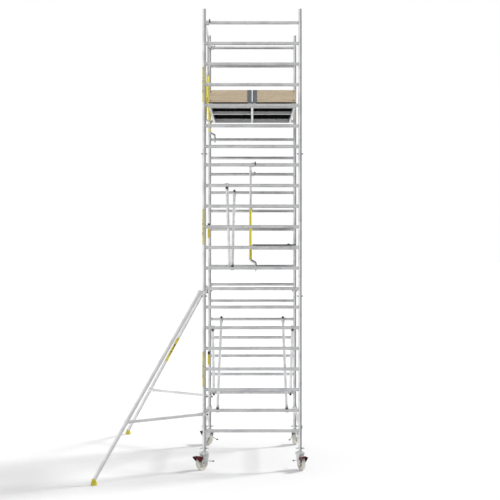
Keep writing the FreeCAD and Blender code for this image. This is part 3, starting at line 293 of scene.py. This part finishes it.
# %% Deck board finish
# A wave texture repeats every 2 pi / 20 at a scale of 1.
MESH_SCALE = 40.0
MESH_PITCH = 2 * math.pi / 20 / MESH_SCALE
deck_film, tree, shader = new_finish("deck_film", specular=0.4)
place = add(tree, "ShaderNodeTexCoord").outputs["Object"]
weave_x = add(tree, "ShaderNodeTexWave", {"Vector": place, "Scale": MESH_SCALE},
              bands_direction="X")
weave_y = add(tree, "ShaderNodeTexWave", {"Vector": place, "Scale": MESH_SCALE},
              bands_direction="Y")
mesh_mask = add(tree, "ShaderNodeMath", {0: weave_x.outputs[1], 1: weave_y.outputs[1]},
                operation="MAXIMUM")
scuff = add(tree, "ShaderNodeTexNoise", {
    "Vector": place, "Scale": 14.0, "Detail": 6.0, "Roughness": 0.7})
scuffed = between(tree, scuff.outputs[0], 0.55, 0.72)
film = mixed(tree, scuffed, (0.012, 0.012, 0.012, 1), (0.045, 0.042, 0.04, 1))
dust = use_group(tree, dusty, Amount=0.35)
dusted = mixed(tree, dust.outputs[0], film, (0.3, 0.29, 0.27, 1))
tree.links.new(dusted, shader.inputs["Base Color"])
dulled = between(tree, mesh_mask.outputs[0], 0.5, 1.0, 0.45, 0.7)
tree.links.new(dulled, shader.inputs["Roughness"])
set_relief(tree, shader, mesh_mask.outputs[0], 0.0006, 0.5)
print("deck film mesh pitch is", round(1000 * MESH_PITCH, 1), "mm")

# %% [markdown]
# The underside of a board has smooth film with no mesh and no shine at all. Its colour is painted
# shade: a copy of the black film made darker still, put on the faces that look down.

# %% Film under the boards, in painted shade
board_underside_painted_shade, tree, shader = new_finish("board_underside_painted_shade", specular=0.0)
grain = use_group(tree, grainy, Scale=300.0)
# Painted shade: the underside is darker than the top film, for the shade under the boards.
shade = mixed(tree, grain.outputs["Rubbed"], (0.004, 0.004, 0.004, 1), (0.011, 0.010, 0.010, 1))
tree.links.new(shade, shader.inputs["Base Color"])
dulled = between(tree, grain.outputs["Grain"], 0.3, 0.7, 0.8, 0.95)
tree.links.new(dulled, shader.inputs["Roughness"])
print("boards take", deck_film.name, "above and", board_underside_painted_shade.name, "below")

# %% [markdown]
# ## Toe boards
# Toe boards are birch plywood, warm and matt. The grain runs along the board, so noise is
# stretched along it, and a finer layer gives the pores.

# %% Toe board finish
def plywood_finish(name, stretch):
    """Birch plywood. The stretch is small along the grain and large across it."""
    material, tree, shader = new_finish(name, specular=0.35)
    place = add(tree, "ShaderNodeTexCoord").outputs["Object"]
    long = add(tree, "ShaderNodeVectorMath", {0: place, 1: stretch}, operation="MULTIPLY")
    figure = add(tree, "ShaderNodeTexNoise", {
        "Vector": long.outputs[0], "Scale": 1.0, "Detail": 6.0, "Distortion": 0.6})
    pores = add(tree, "ShaderNodeTexNoise", {
        "Vector": long.outputs[0], "Scale": 9.0, "Detail": 3.0})
    streaks = between(tree, figure.outputs[0], 0.35, 0.65)
    warm = mixed(tree, streaks, (0.64, 0.53, 0.385, 1), (0.54, 0.435, 0.30, 1))
    holes = between(tree, pores.outputs[0], 0.56, 0.7)
    porous = mixed(tree, holes, warm, (0.42, 0.325, 0.21, 1))
    dust = use_group(tree, dusty, Amount=0.3)
    dusted = mixed(tree, dust.outputs[0], porous, (0.6, 0.56, 0.5, 1))
    tree.links.new(dusted, shader.inputs["Base Color"])
    dulled = between(tree, pores.outputs[0], 0.3, 0.7, 0.5, 0.68)
    tree.links.new(dulled, shader.inputs["Roughness"])
    set_relief(tree, shader, pores.outputs[0], 0.0004, 0.5)
    return material


ply_across = plywood_finish("plywood_across", (3.0, 40.0, 40.0))
ply_along = plywood_finish("plywood_along", (40.0, 3.0, 40.0))
print("plywood finishes:", ply_across.name, ply_along.name)

# %% [markdown]
# ## Give each CAD node its finish
# A node's faces keep their shape and only take another material. A node that joins tubes and
# castings takes a second finish on the faces whose middles pass a test of place.

# %% Finish helpers
def dress(name, *finishes):
    """Puts finishes in a CAD node's slots, the first one on every face."""
    mesh = nodes[name].data
    mesh.materials.clear()
    for finish in finishes:
        mesh.materials.append(finish)
    mesh.polygons.foreach_set("material_index", [0] * len(mesh.polygons))


def dress_part(name, index, test):
    """Gives the finish of that index to the faces that pass the test, and counts them."""
    count = 0
    for face in nodes[name].data.polygons:
        if test(face):
            face.material_index = index
            count += 1
    print(f"{name}: finish {index} on {count} faces")


# %% End frames
def on_stile(face):
    return min(abs(face.center.x - LEFT), abs(face.center.x - RIGHT)) < STILE_R + 0.0005


def near_end(reach):
    """A test for the faces that lie within that reach of the plane of either end frame."""
    return lambda face: min(abs(face.center.y - NEAR), abs(face.center.y - FAR)) < reach


for end in ("near", "far"):
    for level in LEVELS:
        frame_name = f"end_frame_{end}_{level}"
        dress(frame_name, across_tube, upright_tube)
        dress_part(frame_name, 1, on_stile)

# %% Legs and casters
for corner in ("near_left", "near_right", "far_left", "far_right"):
    dress(f"leg_spindle_{corner}", zinc)
    dress(f"height_nut_{corner}", casting)
    dress(f"caster_fork_{corner}", pressed)
    dress(f"caster_wheel_{corner}", wheel)
    dress(f"brake_pedal_{corner}", red, pressed, black)
print("legs and casters dressed at 4 corners")

# %% Braces
dress("horizontal_braces", along_tube, casting, black)
dress_part("horizontal_braces", 1, near_end(0.1))
for place_name in ("left", "right", "mid"):
    for slope in ("rising", "falling"):
        brace_name = f"diagonal_brace_{place_name}_{slope}"
        dress(brace_name, pale_tube, casting)
        dress_part(brace_name, 1, near_end(0.085))
dress("diagonal_brace_latches", black)
dress("frame_lock_pins", black)

# %% Platforms
for deck in ("top_left", "top_right", "middle"):
    dress(f"deck_frame_{deck}", along_tube, casting, beam_painted_shade)
    # Faces that look along the tower take the darker copy, a painted shade.
    dress_part(f"deck_frame_{deck}", 2, lambda face: abs(face.normal.y) > 0.5)
    dress_part(f"deck_frame_{deck}", 1, near_end(0.034))
for board in ("deck_board_top_left", "deck_board_top_right", "deck_board_middle",
              "trapdoor_top_right", "trapdoor_middle"):
    dress(board, deck_film, board_underside_painted_shade)
    # Faces that look down take the darker film, a painted shade.
    dress_part(board, 1, lambda face: face.normal.z < -0.5)
dress("toe_boards_end", ply_across)
dress("toe_boards_side", ply_along)
CORNER_BOLT_X = 0.54
dress("toe_board_brackets", plate_grey, black)
dress_part("toe_board_brackets", 1, lambda face: (
    abs(face.center.x - MIDDLE) > CORNER_BOLT_X and abs(face.center.y) > FAR - 0.001))

# %% Guardrails and stabilisers
for unit in ("left", "centre"):
    dress(f"guardrail_frame_{unit}", along_tube, casting, black)
    tail_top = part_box(f"guardrail_frame_{unit}")[0].z + 0.2
    dress_part(f"guardrail_frame_{unit}", 1, near_end(0.05))
    dress_part(f"guardrail_frame_{unit}", 1, lambda face: face.center.z < tail_top)
    dress(f"guardrail_legs_{unit}", yellow)
    for end in ("near", "far"):
        dress(f"guardrail_lever_{unit}_{end}", black)
for end in ("near", "far"):
    dress(f"stabiliser_leg_{end}", pale_tube)
    dress(f"stabiliser_arm_{end}", pale_tube)
    dress(f"stabiliser_foot_{end}", rubber)
print("guardrails and stabilisers dressed")

# %% [markdown]
# ## Ways of working on a new piece
# Each small piece starts as a primitive, is shaped in edit mode, and then takes a finish and rides
# on a body of the tower. Faces and edges are picked by place, as they would be by eye.

# %% Modelling helpers
def begin(kind, name, **where):
    """Adds a primitive with nothing else selected and names it."""
    bpy.ops.object.select_all(action="DESELECT")
    getattr(bpy.ops.mesh, f"primitive_{kind}_add")(**where)
    piece = bpy.context.active_object
    piece.name = name
    bpy.ops.object.transform_apply(location=True, rotation=True, scale=True)
    return piece


def pick_faces(piece, test):
    """Opens the piece in edit mode with only the faces whose middle passes the test."""
    bpy.ops.object.mode_set(mode="OBJECT")
    for part in (piece.data.vertices, piece.data.edges, piece.data.polygons):
        part.foreach_set("select", [False] * len(part))
    for face in piece.data.polygons:
        face.select = test(face.center)
    bpy.context.tool_settings.mesh_select_mode = (False, False, True)
    bpy.ops.object.mode_set(mode="EDIT")


def pick_edges(piece, test):
    """Opens the piece in edit mode with only the edges whose two ends both pass the test."""
    bpy.ops.object.mode_set(mode="OBJECT")
    points = piece.data.vertices
    for part in (points, piece.data.edges, piece.data.polygons):
        part.foreach_set("select", [False] * len(part))
    for edge in piece.data.edges:
        edge.select = all(test(points[end].co) for end in edge.vertices)
    bpy.context.tool_settings.mesh_select_mode = (False, True, False)
    bpy.ops.object.mode_set(mode="EDIT")


def close(piece, *finishes, smooth=35):
    """Leaves edit mode, smooths the shallow edges and puts the finishes in the piece's slots."""
    bpy.ops.object.mode_set(mode="OBJECT")
    bpy.ops.object.shade_smooth_by_angle(angle=math.radians(smooth))
    while len(piece.data.materials) < len(finishes):
        piece.data.materials.append(finishes[len(piece.data.materials)])
    return piece


def repeat(master, name, places, body):
    """Copies a finished piece to each place, every copy with its own mesh, and joins the copies."""
    bpy.ops.object.select_all(action="DESELECT")
    for place in places:
        copy = bpy.data.objects.new(name, master.data.copy())
        bpy.context.collection.objects.link(copy)
        copy.data.transform(place)
        copy.select_set(True)
        bpy.context.view_layer.objects.active = copy
    if len(places) > 1:
        bpy.ops.object.join()
    piece = bpy.context.active_object
    piece.name = name
    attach(piece, body)
    return piece


def discard(master):
    bpy.data.objects.remove(master, do_unlink=True)


def seat(at, axis, side=(0, 0, 1)):
    """A place at a point, whose Z runs along the axis and whose X leans to the side."""
    up = Vector(axis).normalized()
    across = (Vector(side) - up * up.dot(Vector(side)))
    if across.length < 0.01:
        across = Vector((1, 0, 0)) - up * up.x
    across.normalize()
    third = up.cross(across)
    place = Matrix((across, third, up)).transposed().to_4x4()
    place.translation = Vector(at)
    return place


CORNERS = {}
for corner, hand in (("near_left", 1), ("near_right", -1), ("far_left", -1), ("far_right", 1)):
    stile = Vector((LEFT if "left" in corner else RIGHT, NEAR if "near" in corner else FAR, 0))
    low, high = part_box(f"caster_wheel_{corner}")
    axle = (low + high) / 2
    back = Vector((axle.x - stile.x, axle.y - stile.y, 0)).normalized()
    side = Vector((-back.y, back.x, 0))
    CORNERS[corner] = (stile, axle, back, side, hand)
print("wheels stand at", [tuple(round(v, 3) for v in c[1]) for c in CORNERS.values()])

# %% [markdown]
# ## Brake pedals
# The pedal is painted red, the release arm beside it is zinc plated, and its tip is black. They
# are one CAD node, so the faces take their finish by their place beside the wheel.

# %% Pedal finishes
PEDAL_SIDE_FACE = 0.038
FACE_EDGE = 0.0004
ARM_START = 0.040
TIP_START = -0.1235
for corner, (stile, axle, back, side, hand) in CORNERS.items():
    for face in nodes[f"brake_pedal_{corner}"].data.polygons:
        out = (face.center - stile).dot(side) * hand
        behind = (face.center - stile).dot(back)
        if behind < TIP_START:
            face.material_index = 2
        elif out > PEDAL_SIDE_FACE + FACE_EDGE or (
                out > PEDAL_SIDE_FACE - FACE_EDGE and behind < ARM_START):
            face.material_index = 1
print("pedals dressed in", red.name, pressed.name, black.name)

# %% [markdown]
# ## Spindle threads
# A coarse thread lets a leg be wound up and down. A Screw modifier winds a small ridge round the
# spindle, which is quicker than stacking rings and gives a real helix.

# %% Thread
THREAD_PITCH = 0.010
THREAD_LOW, THREAD_HIGH = 0.258, 0.500
SPINDLE_R = 0.018
thread = begin("circle", "thread", vertices=3, radius=0.0016, rotation=(math.pi / 2, 0, 0),
               location=(SPINDLE_R, 0, THREAD_LOW))
bpy.ops.object.mode_set(mode="EDIT")
bpy.ops.mesh.select_all(action="SELECT")
bpy.ops.transform.resize(value=(0.9, 1, 1.5), center_override=(SPINDLE_R, 0, THREAD_LOW))
bpy.ops.object.mode_set(mode="OBJECT")
wound = thread.modifiers.new("wound", "SCREW")
wound.axis = "Z"
wound.screw_offset = THREAD_PITCH
wound.iterations = int((THREAD_HIGH - THREAD_LOW) / THREAD_PITCH)
wound.steps = wound.render_steps = 20
wound.use_merge_vertices = True
bpy.ops.object.modifier_apply(modifier="wound")
pick_faces(thread, lambda middle: True)
bpy.ops.mesh.remove_doubles(threshold=0.00001)
bpy.ops.mesh.select_all(action="SELECT")
bpy.ops.mesh.normals_make_consistent(inside=False)
close(thread, zinc, smooth=50)
for corner, (stile, axle, back, side, hand) in CORNERS.items():
    repeat(thread, f"thread_{corner}", [Matrix.Translation(stile)], f"leg_{corner}")
print("one thread has", len(thread.data.polygons), "faces")
discard(thread)

# %% [markdown]
# ## Rung collars
# Each rung is swaged into its stile and leaves a short raised collar there. One collar is turned
# from a tube, with a tapered lip, and copied to all the rung ends of a frame.

# %% Collars
COLLAR_LENGTH = 0.030
collar = begin("cylinder", "collar", vertices=28, radius=RUNG_R + 0.0012, depth=COLLAR_LENGTH,
               end_fill_type="NOTHING", location=(0, 0, COLLAR_LENGTH / 2))
pick_edges(collar, lambda point: point.z > COLLAR_LENGTH - 0.001)
bpy.ops.mesh.extrude_region_move(TRANSFORM_OT_translate={"value": (0, 0, 0.003)})
bpy.ops.transform.resize(value=(0.955, 0.955, 1), center_override=(0, 0, 0))
pick_edges(collar, lambda point: abs(point.z - COLLAR_LENGTH) < 0.001)
bpy.ops.mesh.bevel(offset=0.0009, segments=2)
close(collar, casting)
for end, y in (("near", NEAR), ("far", FAR)):
    for level, level_name in enumerate(LEVELS):
        places = []
        for rung in range(1, RUNGS + 1):
            z = rung_z(level, rung)
            places.append(seat((LEFT + 0.012, y, z), (1, 0, 0)))
            places.append(seat((RIGHT - 0.012, y, z), (-1, 0, 0)))
        repeat(collar, f"collars_{end}_{level_name}", places, "tower")
print("collars:", 2 * RUNGS * 6)
discard(collar)

# %% [markdown]
# ## Labels
# Long yellow labels wrap the outer side of the near left stile and of the far stabiliser's leg.
# A label is a strip of thin film, so it starts as a tube, keeps only the faces that it covers, and
# gets its thickness from Solidify. Plain dark blocks stand where print would be.

# %% Label helpers
ink = grain_finish("label_ink", (0.035, 0.033, 0.02), (0.09, 0.085, 0.04),
                   0.0, 0.35, 0.5, 700, 0.00003, 0.05)


def label_strip(name, radius, length, half_turn, blocks):
    """A curved strip round Z, facing +X. A block is (low share, high share, half turn)."""
    strip = begin("cylinder", name, vertices=72, radius=radius, depth=length,
                  end_fill_type="NOTHING")
    pick_faces(strip, lambda middle: (
        abs(math.atan2(middle.y, middle.x)) > math.radians(half_turn)))
    bpy.ops.mesh.delete(type="FACE")
    for share in sorted({edge for block in blocks for edge in block[:2]}):
        bpy.ops.mesh.select_all(action="SELECT")
        bpy.ops.mesh.bisect(plane_co=(0, 0, (share - 0.5) * length), plane_no=(0, 0, 1))
    close(strip, label_yellow, ink)
    for face in strip.data.polygons:
        turn = abs(math.degrees(math.atan2(face.center.y, face.center.x)))
        share = face.center.z / length + 0.5
        face.material_index = int(any(
            low < share < high and turn < wide for low, high, wide in blocks))
    film = strip.modifiers.new("film", "SOLIDIFY")
    film.thickness = 0.0004
    film.offset = 1
    bpy.ops.object.modifier_apply(modifier="film")
    return strip


BLOCKS = [(0.26, 0.36, 20), (0.39, 0.52, 12), (0.55, 0.62, 20), (0.65, 0.72, 12)]
print("a label carries", len(BLOCKS), "blocks")

# %% Labels on the stile
LABEL_GAP = 0.0003
STILE_LABEL_Z = (1.363, 3.293, 5.223)
stile_label = label_strip("stile_label", STILE_R + LABEL_GAP, 0.475, 55, BLOCKS)
places = [seat((LEFT, NEAR, z), (0, 0, 1), (-0.8, -0.6, 0)) for z in STILE_LABEL_Z]
repeat(stile_label, "stile_labels", places, "tower")
print("stile labels:", len(places))
discard(stile_label)

# %% Label on the stabiliser leg
def leg_line(end, y):
    """The head and foot of a stabiliser leg's axis, and the way that it leans out."""
    low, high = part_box(f"stabiliser_foot_{end}")
    foot = Vector(((low.x + high.x) / 2, (low.y + high.y) / 2, 0.062))
    way = Vector((foot.x - LEFT, foot.y - y, 0)).normalized()
    head = Vector((LEFT, y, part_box(f"stabiliser_leg_{end}")[1].z - 0.041)) + way * 0.075
    return head, foot, way


head, foot, way = leg_line("far", FAR)
LABEL_SHARE = 0.417
leg_label = label_strip("leg_label", STILE_R + LABEL_GAP, 0.46, 50, BLOCKS)
place = seat(head.lerp(foot, LABEL_SHARE), foot - head, (0.25, -1, 0.1))
repeat(leg_label, "stabiliser_label", [place], "stabiliser_far")
discard(leg_label)
print("a stabiliser leg is", round((foot - head).length, 3), "m long")

# %% [markdown]
# ## Inspection tags
# The far left stile carries flat plastic tag holders, yellow with a dark head. A holder is a thin
# plate with rounded corners and a raised rim, clipped in front of the stile.

# %% Tags
def tag_holder(name, height, head_height):
    """A tag 34 mm wide and this high, with its foot at the origin, facing -Y."""
    tag = begin("cube", name, size=1, location=(0, 0, height / 2), scale=(0.034, 0.004, height))
    pick_faces(tag, lambda middle: middle.y < -0.0019)
    bpy.ops.mesh.inset(thickness=0.0025, depth=0)
    bpy.ops.mesh.inset(thickness=0.0008, depth=-0.0012)
    bpy.ops.mesh.select_all(action="SELECT")
    bpy.ops.mesh.bisect(plane_co=(0, 0, height - head_height), plane_no=(0, 0, 1))
    close(tag, label_yellow, black, smooth=30)
    for face in tag.data.polygons:
        face.material_index = int(face.center.z > height - head_height)
    rounding = tag.modifiers.new("rounding", "BEVEL")
    rounding.width = 0.0006
    rounding.segments = 2
    rounding.limit_method = "ANGLE"
    bpy.ops.object.modifier_apply(modifier="rounding")
    return tag


# Each tag is the height of its foot, its own height and the height of its head.
TAGS = ((1.229, 0.202, 0.046), (3.161, 0.222, 0.044))
for place_number, (foot_z, height, head_height) in enumerate(TAGS):
    tag = tag_holder("tag", height, head_height)
    place = Matrix.Translation((LEFT - 0.010, FAR - STILE_R - 0.003, foot_z))
    repeat(tag, f"tag_{place_number + 1}", [place], "tower")
    discard(tag)
print("tags stand", round(FAR - STILE_R, 3), "m along the tower")

# %% [markdown]
# ## Knobs
# Couplers are clamped by screws with small black knobs. A knob starts as the stem, its end face is
# widened and pulled out into a grip, and a small inset and a bevel give the crown and the rim.

# %% One knob
def knob_shape(name, radius, height, stem):
    """A round knob on a stem. The stem's foot is at the origin and the knob stands along +Z."""
    knob = begin("cylinder", name, vertices=24, radius=radius * 0.45, depth=stem,
                 location=(0, 0, stem / 2))
    pick_faces(knob, lambda middle: middle.z > stem - 0.0001)
    bpy.ops.mesh.extrude_region_move(TRANSFORM_OT_translate={"value": (0, 0, 0)})
    bpy.ops.transform.resize(value=(2.22, 2.22, 1), center_override=(0, 0, stem))
    bpy.ops.mesh.extrude_region_move(TRANSFORM_OT_translate={"value": (0, 0, height)})
    bpy.ops.mesh.inset(thickness=radius * 0.3, depth=0)
    bpy.ops.transform.translate(value=(0, 0, height * 0.12))
    pick_edges(knob, lambda point: (
        point.z > stem + height * 0.9 and point.xy.length > radius * 0.9))
    bpy.ops.mesh.bevel(offset=height * 0.15, segments=2)
    close(knob, black)
    return knob


KNOB_Z = 0.510
stile_knob = knob_shape("stile_knob", 0.014, 0.016, 0.008)
places = [seat((LEFT - STILE_R + 0.001, y, KNOB_Z), (-1, 0, 0)) for y in (NEAR, FAR)]
repeat(stile_knob, "stile_knobs", places, "tower")
discard(stile_knob)
print("knobs on the left stiles:", len(places))

# %% [markdown]
# Each stabiliser has a coupler at its arm and one at its head, with two knobs on each. The low
# knobs sit under the coupler's middle, so that they pass below the brace latch beside the stile
# when the stabiliser swings in.

# %% Knobs on the stabiliser couplers
KNOB_DROP = 0.012
knob = knob_shape("knob", 0.011, 0.014, 0.008)
for end, y, turn in (("near", NEAR, -1), ("far", FAR, 1)):
    head, foot, way = leg_line(end, y)
    low_z = sum(corner.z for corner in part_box(f"stabiliser_arm_{end}")) / 2 - KNOB_DROP
    top_z = head.z
    stile = Vector((LEFT, y, 0))
    ring = STILE_R + 0.010
    cross = Vector((-way.y, way.x, 0)) * turn
    places = [seat(stile - way * ring + Vector((0, 0, z)), -way) for z in (low_z, top_z)]
    places += [seat(stile + cross * ring + way * 0.02 + Vector((0, 0, z)), cross)
               for z in (low_z, top_z)]
    repeat(knob, f"coupler_knobs_{end}", places, f"stabiliser_{end}")
    print("coupler knobs at the", end, "end:", len(places))
discard(knob)

# %% [markdown]
# ## Rivets
# The deck's hooks and crossbar are riveted to its side rails. A rivet head is half a sphere pressed
# flat, with a short skirt so that it meets the rail.

# %% Rivets on the deck frames
rivet = begin("uv_sphere", "rivet", segments=12, ring_count=8, radius=0.006)
pick_faces(rivet, lambda middle: middle.z < 0)
bpy.ops.mesh.delete(type="FACE")
bpy.ops.mesh.select_all(action="SELECT")
bpy.ops.transform.resize(value=(1, 1, 0.55), center_override=(0, 0, 0))
pick_edges(rivet, lambda point: point.z < 0.0001)
bpy.ops.mesh.extrude_region_move(TRANSFORM_OT_translate={"value": (0, 0, -0.002)})
close(rivet, zinc)
for deck in ("top_left", "top_right", "middle"):
    low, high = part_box(f"deck_frame_{deck}")
    places = []
    for x in (low.x, high.x):
        outside = (-1, 0, 0) if x == low.x else (1, 0, 0)
        for y in (low.y + 0.075, low.y + 0.12, -0.02, 0.02, high.y - 0.12, high.y - 0.075):
            places.append(seat((x, y, high.z - 0.042), outside))
    repeat(rivet, f"rivets_{deck}", places, "tower")
discard(rivet)
print("rivets on each deck frame:", len(places))

# %% [markdown]
# ## Caster details
# A moulded wheel has ribs between its hub and rim, its axle ends in nuts, and its brake pedal has a
# ridged tread plate. A rib is a thin block, thinned at its two outer faces as a mould needs.

# %% Wheel ribs
RIBS = 8
rib = begin("cube", "rib", size=1, location=(0.042, 0, 0), scale=(0.046, 0.005, 0.036))
pick_faces(rib, lambda middle: abs(middle.z) > 0.0179)
bpy.ops.transform.resize(value=(1, 0.6, 1), center_override=(0.042, 0, 0))
pick_edges(rib, lambda point: True)
bpy.ops.mesh.bevel(offset=0.0008, segments=1)
close(rib, wheel)
for corner, (stile, axle, back, side, hand) in CORNERS.items():
    places = [seat(axle, side, back) @ Matrix.Rotation(2 * math.pi * turn / RIBS, 4, "Z")
              for turn in range(RIBS)]
    repeat(rib, f"wheel_ribs_{corner}", places, f"wheel_{corner}")
discard(rib)
print("ribs in each wheel:", RIBS)

# %% [markdown]
# The axle's ends are hexagon nuts, one on each side of the fork. A six-sided cylinder is inset
# twice, for the chamfer and the bolt end, which is then pulled out.

# %% Axle caps
CAP_OUT = 0.0325
cap = begin("cylinder", "cap", vertices=6, radius=0.0145, depth=0.008, location=(0, 0, 0.004))
pick_faces(cap, lambda middle: middle.z > 0.0079)
bpy.ops.mesh.inset(thickness=0.002, depth=0)
bpy.ops.transform.translate(value=(0, 0, 0.0012))
bpy.ops.mesh.inset(thickness=0.004, depth=0)
bpy.ops.mesh.extrude_region_move(TRANSFORM_OT_translate={"value": (0, 0, 0.004)})
close(cap, zinc, smooth=25)
for corner, (stile, axle, back, side, hand) in CORNERS.items():
    places = [seat(axle + side * (hand * CAP_OUT), side * hand),
              seat(axle - side * (hand * CAP_OUT), side * -hand)]
    repeat(cap, f"axle_caps_{corner}", places, f"fork_{corner}")
discard(cap)
print("axle caps on each fork:", len(places))

# %% [markdown]
# The tread plate has ridges across it, so that a shoe doesn't slip. One ridge is a bar with a
# narrowed top, and it is repeated back along the plate.

# %% Pedal treads
RIDGES = 7
RIDGE_START, RIDGE_PITCH, RIDGE_Z = 0.122, 0.009, 0.196
ridge = begin("cube", "ridge", size=1, location=(0, 0, 0.001), scale=(0.004, 0.058, 0.003))
pick_faces(ridge, lambda middle: middle.z > 0.0024)
bpy.ops.transform.resize(value=(0.5, 0.94, 1), center_override=(0, 0, 0.001))
close(ridge, red)
for corner, (stile, axle, back, side, hand) in CORNERS.items():
    first = stile + Vector((0, 0, RIDGE_Z))
    places = [seat(first + back * (RIDGE_START + RIDGE_PITCH * step), (0, 0, 1), back)
              for step in range(RIDGES)]
    repeat(ridge, f"pedal_ridges_{corner}", places, f"pedal_{corner}")
discard(ridge)
print("caster details on", len(CORNERS), "corners")

# %% [markdown]
# ## Studio
# A pale floor, a soft low light from the back right and a pale surround give the even light of a
# catalogue picture. The floor is greyer around the tower's foot, a painted shade that fades to
# white further out. The surround is greyer straight ahead and straight behind, so that bright tube
# shows a darker core between pale flanks. The light itself isn't mirrored in the metal.

# %% Floor
bpy.ops.object.select_all(action="DESELECT")
bpy.ops.mesh.primitive_plane_add(size=400, location=(MIDDLE, 20, -0.0005))
floor = bpy.context.active_object
bpy.ops.object.transform_apply(location=True)
floor.name = "studio_floor"
floor_paint_with_painted_shade, tree, shader = new_finish("floor_paint_with_painted_shade", specular=0.1)
place = add(tree, "ShaderNodeTexCoord").outputs["Object"]
# Painted shade: the floor is greyer within a metre of a point beside the tower's foot and fades to
# white five metres out.
spot = add(tree, "ShaderNodeVectorMath", {0: place, 1: (MIDDLE - 0.6, -0.6, 0)},
           operation="SUBTRACT")
far_off = add(tree, "ShaderNodeVectorMath", {0: spot.outputs[0]}, operation="LENGTH")
painted_shade_fade = between(tree, far_off.outputs["Value"], 1.0, 5.0)
paint = mixed(tree, painted_shade_fade, (0.87, 0.87, 0.875, 1), (0.97, 0.97, 0.97, 1))
tree.links.new(paint, shader.inputs["Base Color"])
shader.inputs["Roughness"].default_value = 0.9
floor.data.materials.append(floor_paint_with_painted_shade)
floor.visible_glossy = False
print("floor", floor.name, "is just under the wheels")

# %% [markdown]
# A low sun with a wide disc throws the long soft shadows. It is a light that metal doesn't mirror,
# so the tubes keep the even bands of the surround.

# %% Key light
SUN_HEIGHT = math.radians(38)
sun_data = bpy.data.lights.new("key", "SUN")
sun_data.energy = 2.4
sun_data.angle = math.radians(11)
sun = bpy.data.objects.new("key", sun_data)
bpy.context.scene.collection.objects.link(sun)
shadow_way = Vector((-0.89, -0.46, 0)).normalized() * math.cos(SUN_HEIGHT)
shadow_way.z = -math.sin(SUN_HEIGHT)
sun.rotation_euler = shadow_way.to_track_quat("-Z", "Y").to_euler()
sun.location = (6, 4, 8)
sun.visible_glossy = False
print("shadows fall towards", tuple(round(v, 2) for v in shadow_way))

# %% [markdown]
# The surround is white to the camera, a soft grey as light, and banded in what metal mirrors: pale
# to the left and behind, darker to the right. The Light Path node tells the three apart.

# %% Surround
world = bpy.data.worlds.new("surround")
bpy.context.scene.world = world
world.use_nodes = True
tree = world.node_tree
backdrop = tree.nodes["Background"]
direction = add(tree, "ShaderNodeSeparateXYZ", {
    0: add(tree, "ShaderNodeTexCoord").outputs["Generated"]})
left = between(tree, direction.outputs[0], -0.08, -0.42)
behind = between(tree, direction.outputs[1], 0.25, 0.75)
pale = add(tree, "ShaderNodeMath", {0: left, 1: behind}, operation="MAXIMUM")
core = between(tree, direction.outputs[0], 0.08, 0.5, 0.62, 0.30)
mirrored = add(tree, "ShaderNodeMix", {0: pale.outputs[0], 2: core, 3: 0.97})
path = add(tree, "ShaderNodeLightPath")
soft = between(tree, direction.outputs[2], -0.2, 0.9, 0.62, 0.72)
lit = add(tree, "ShaderNodeMix", {
    0: path.outputs["Is Glossy Ray"], 2: soft, 3: mirrored.outputs[0]})
seen = add(tree, "ShaderNodeMix", {0: path.outputs["Is Camera Ray"], 2: lit.outputs[0], 3: 1.0})
tree.links.new(seen.outputs[0], backdrop.inputs["Strength"])
backdrop.inputs["Color"].default_value = (1, 1, 1, 1)
print("surround", world.name, "has", len(tree.nodes), "nodes")

# %% [markdown]
# The camera stands level in front of the near end, on the tower's middle, about halfway up. A long
# lens keeps the two ends nearly the same width.

# %% Camera
camera_data = bpy.data.cameras.new("camera")
camera = bpy.data.objects.new("camera", camera_data)
bpy.context.scene.collection.objects.link(camera)
camera.location = (MIDDLE, -15.725, 2.985)
camera.rotation_euler = (math.pi / 2, 0, 0)
camera_data.lens = 78.5
camera_data.sensor_width = 36
camera_data.shift_x = -0.0043
camera_data.shift_y = -0.001
bpy.context.scene.camera = camera
bpy.context.scene.view_settings.view_transform = "Standard"
print("camera", tuple(round(v, 3) for v in camera.location), "lens", camera_data.lens)
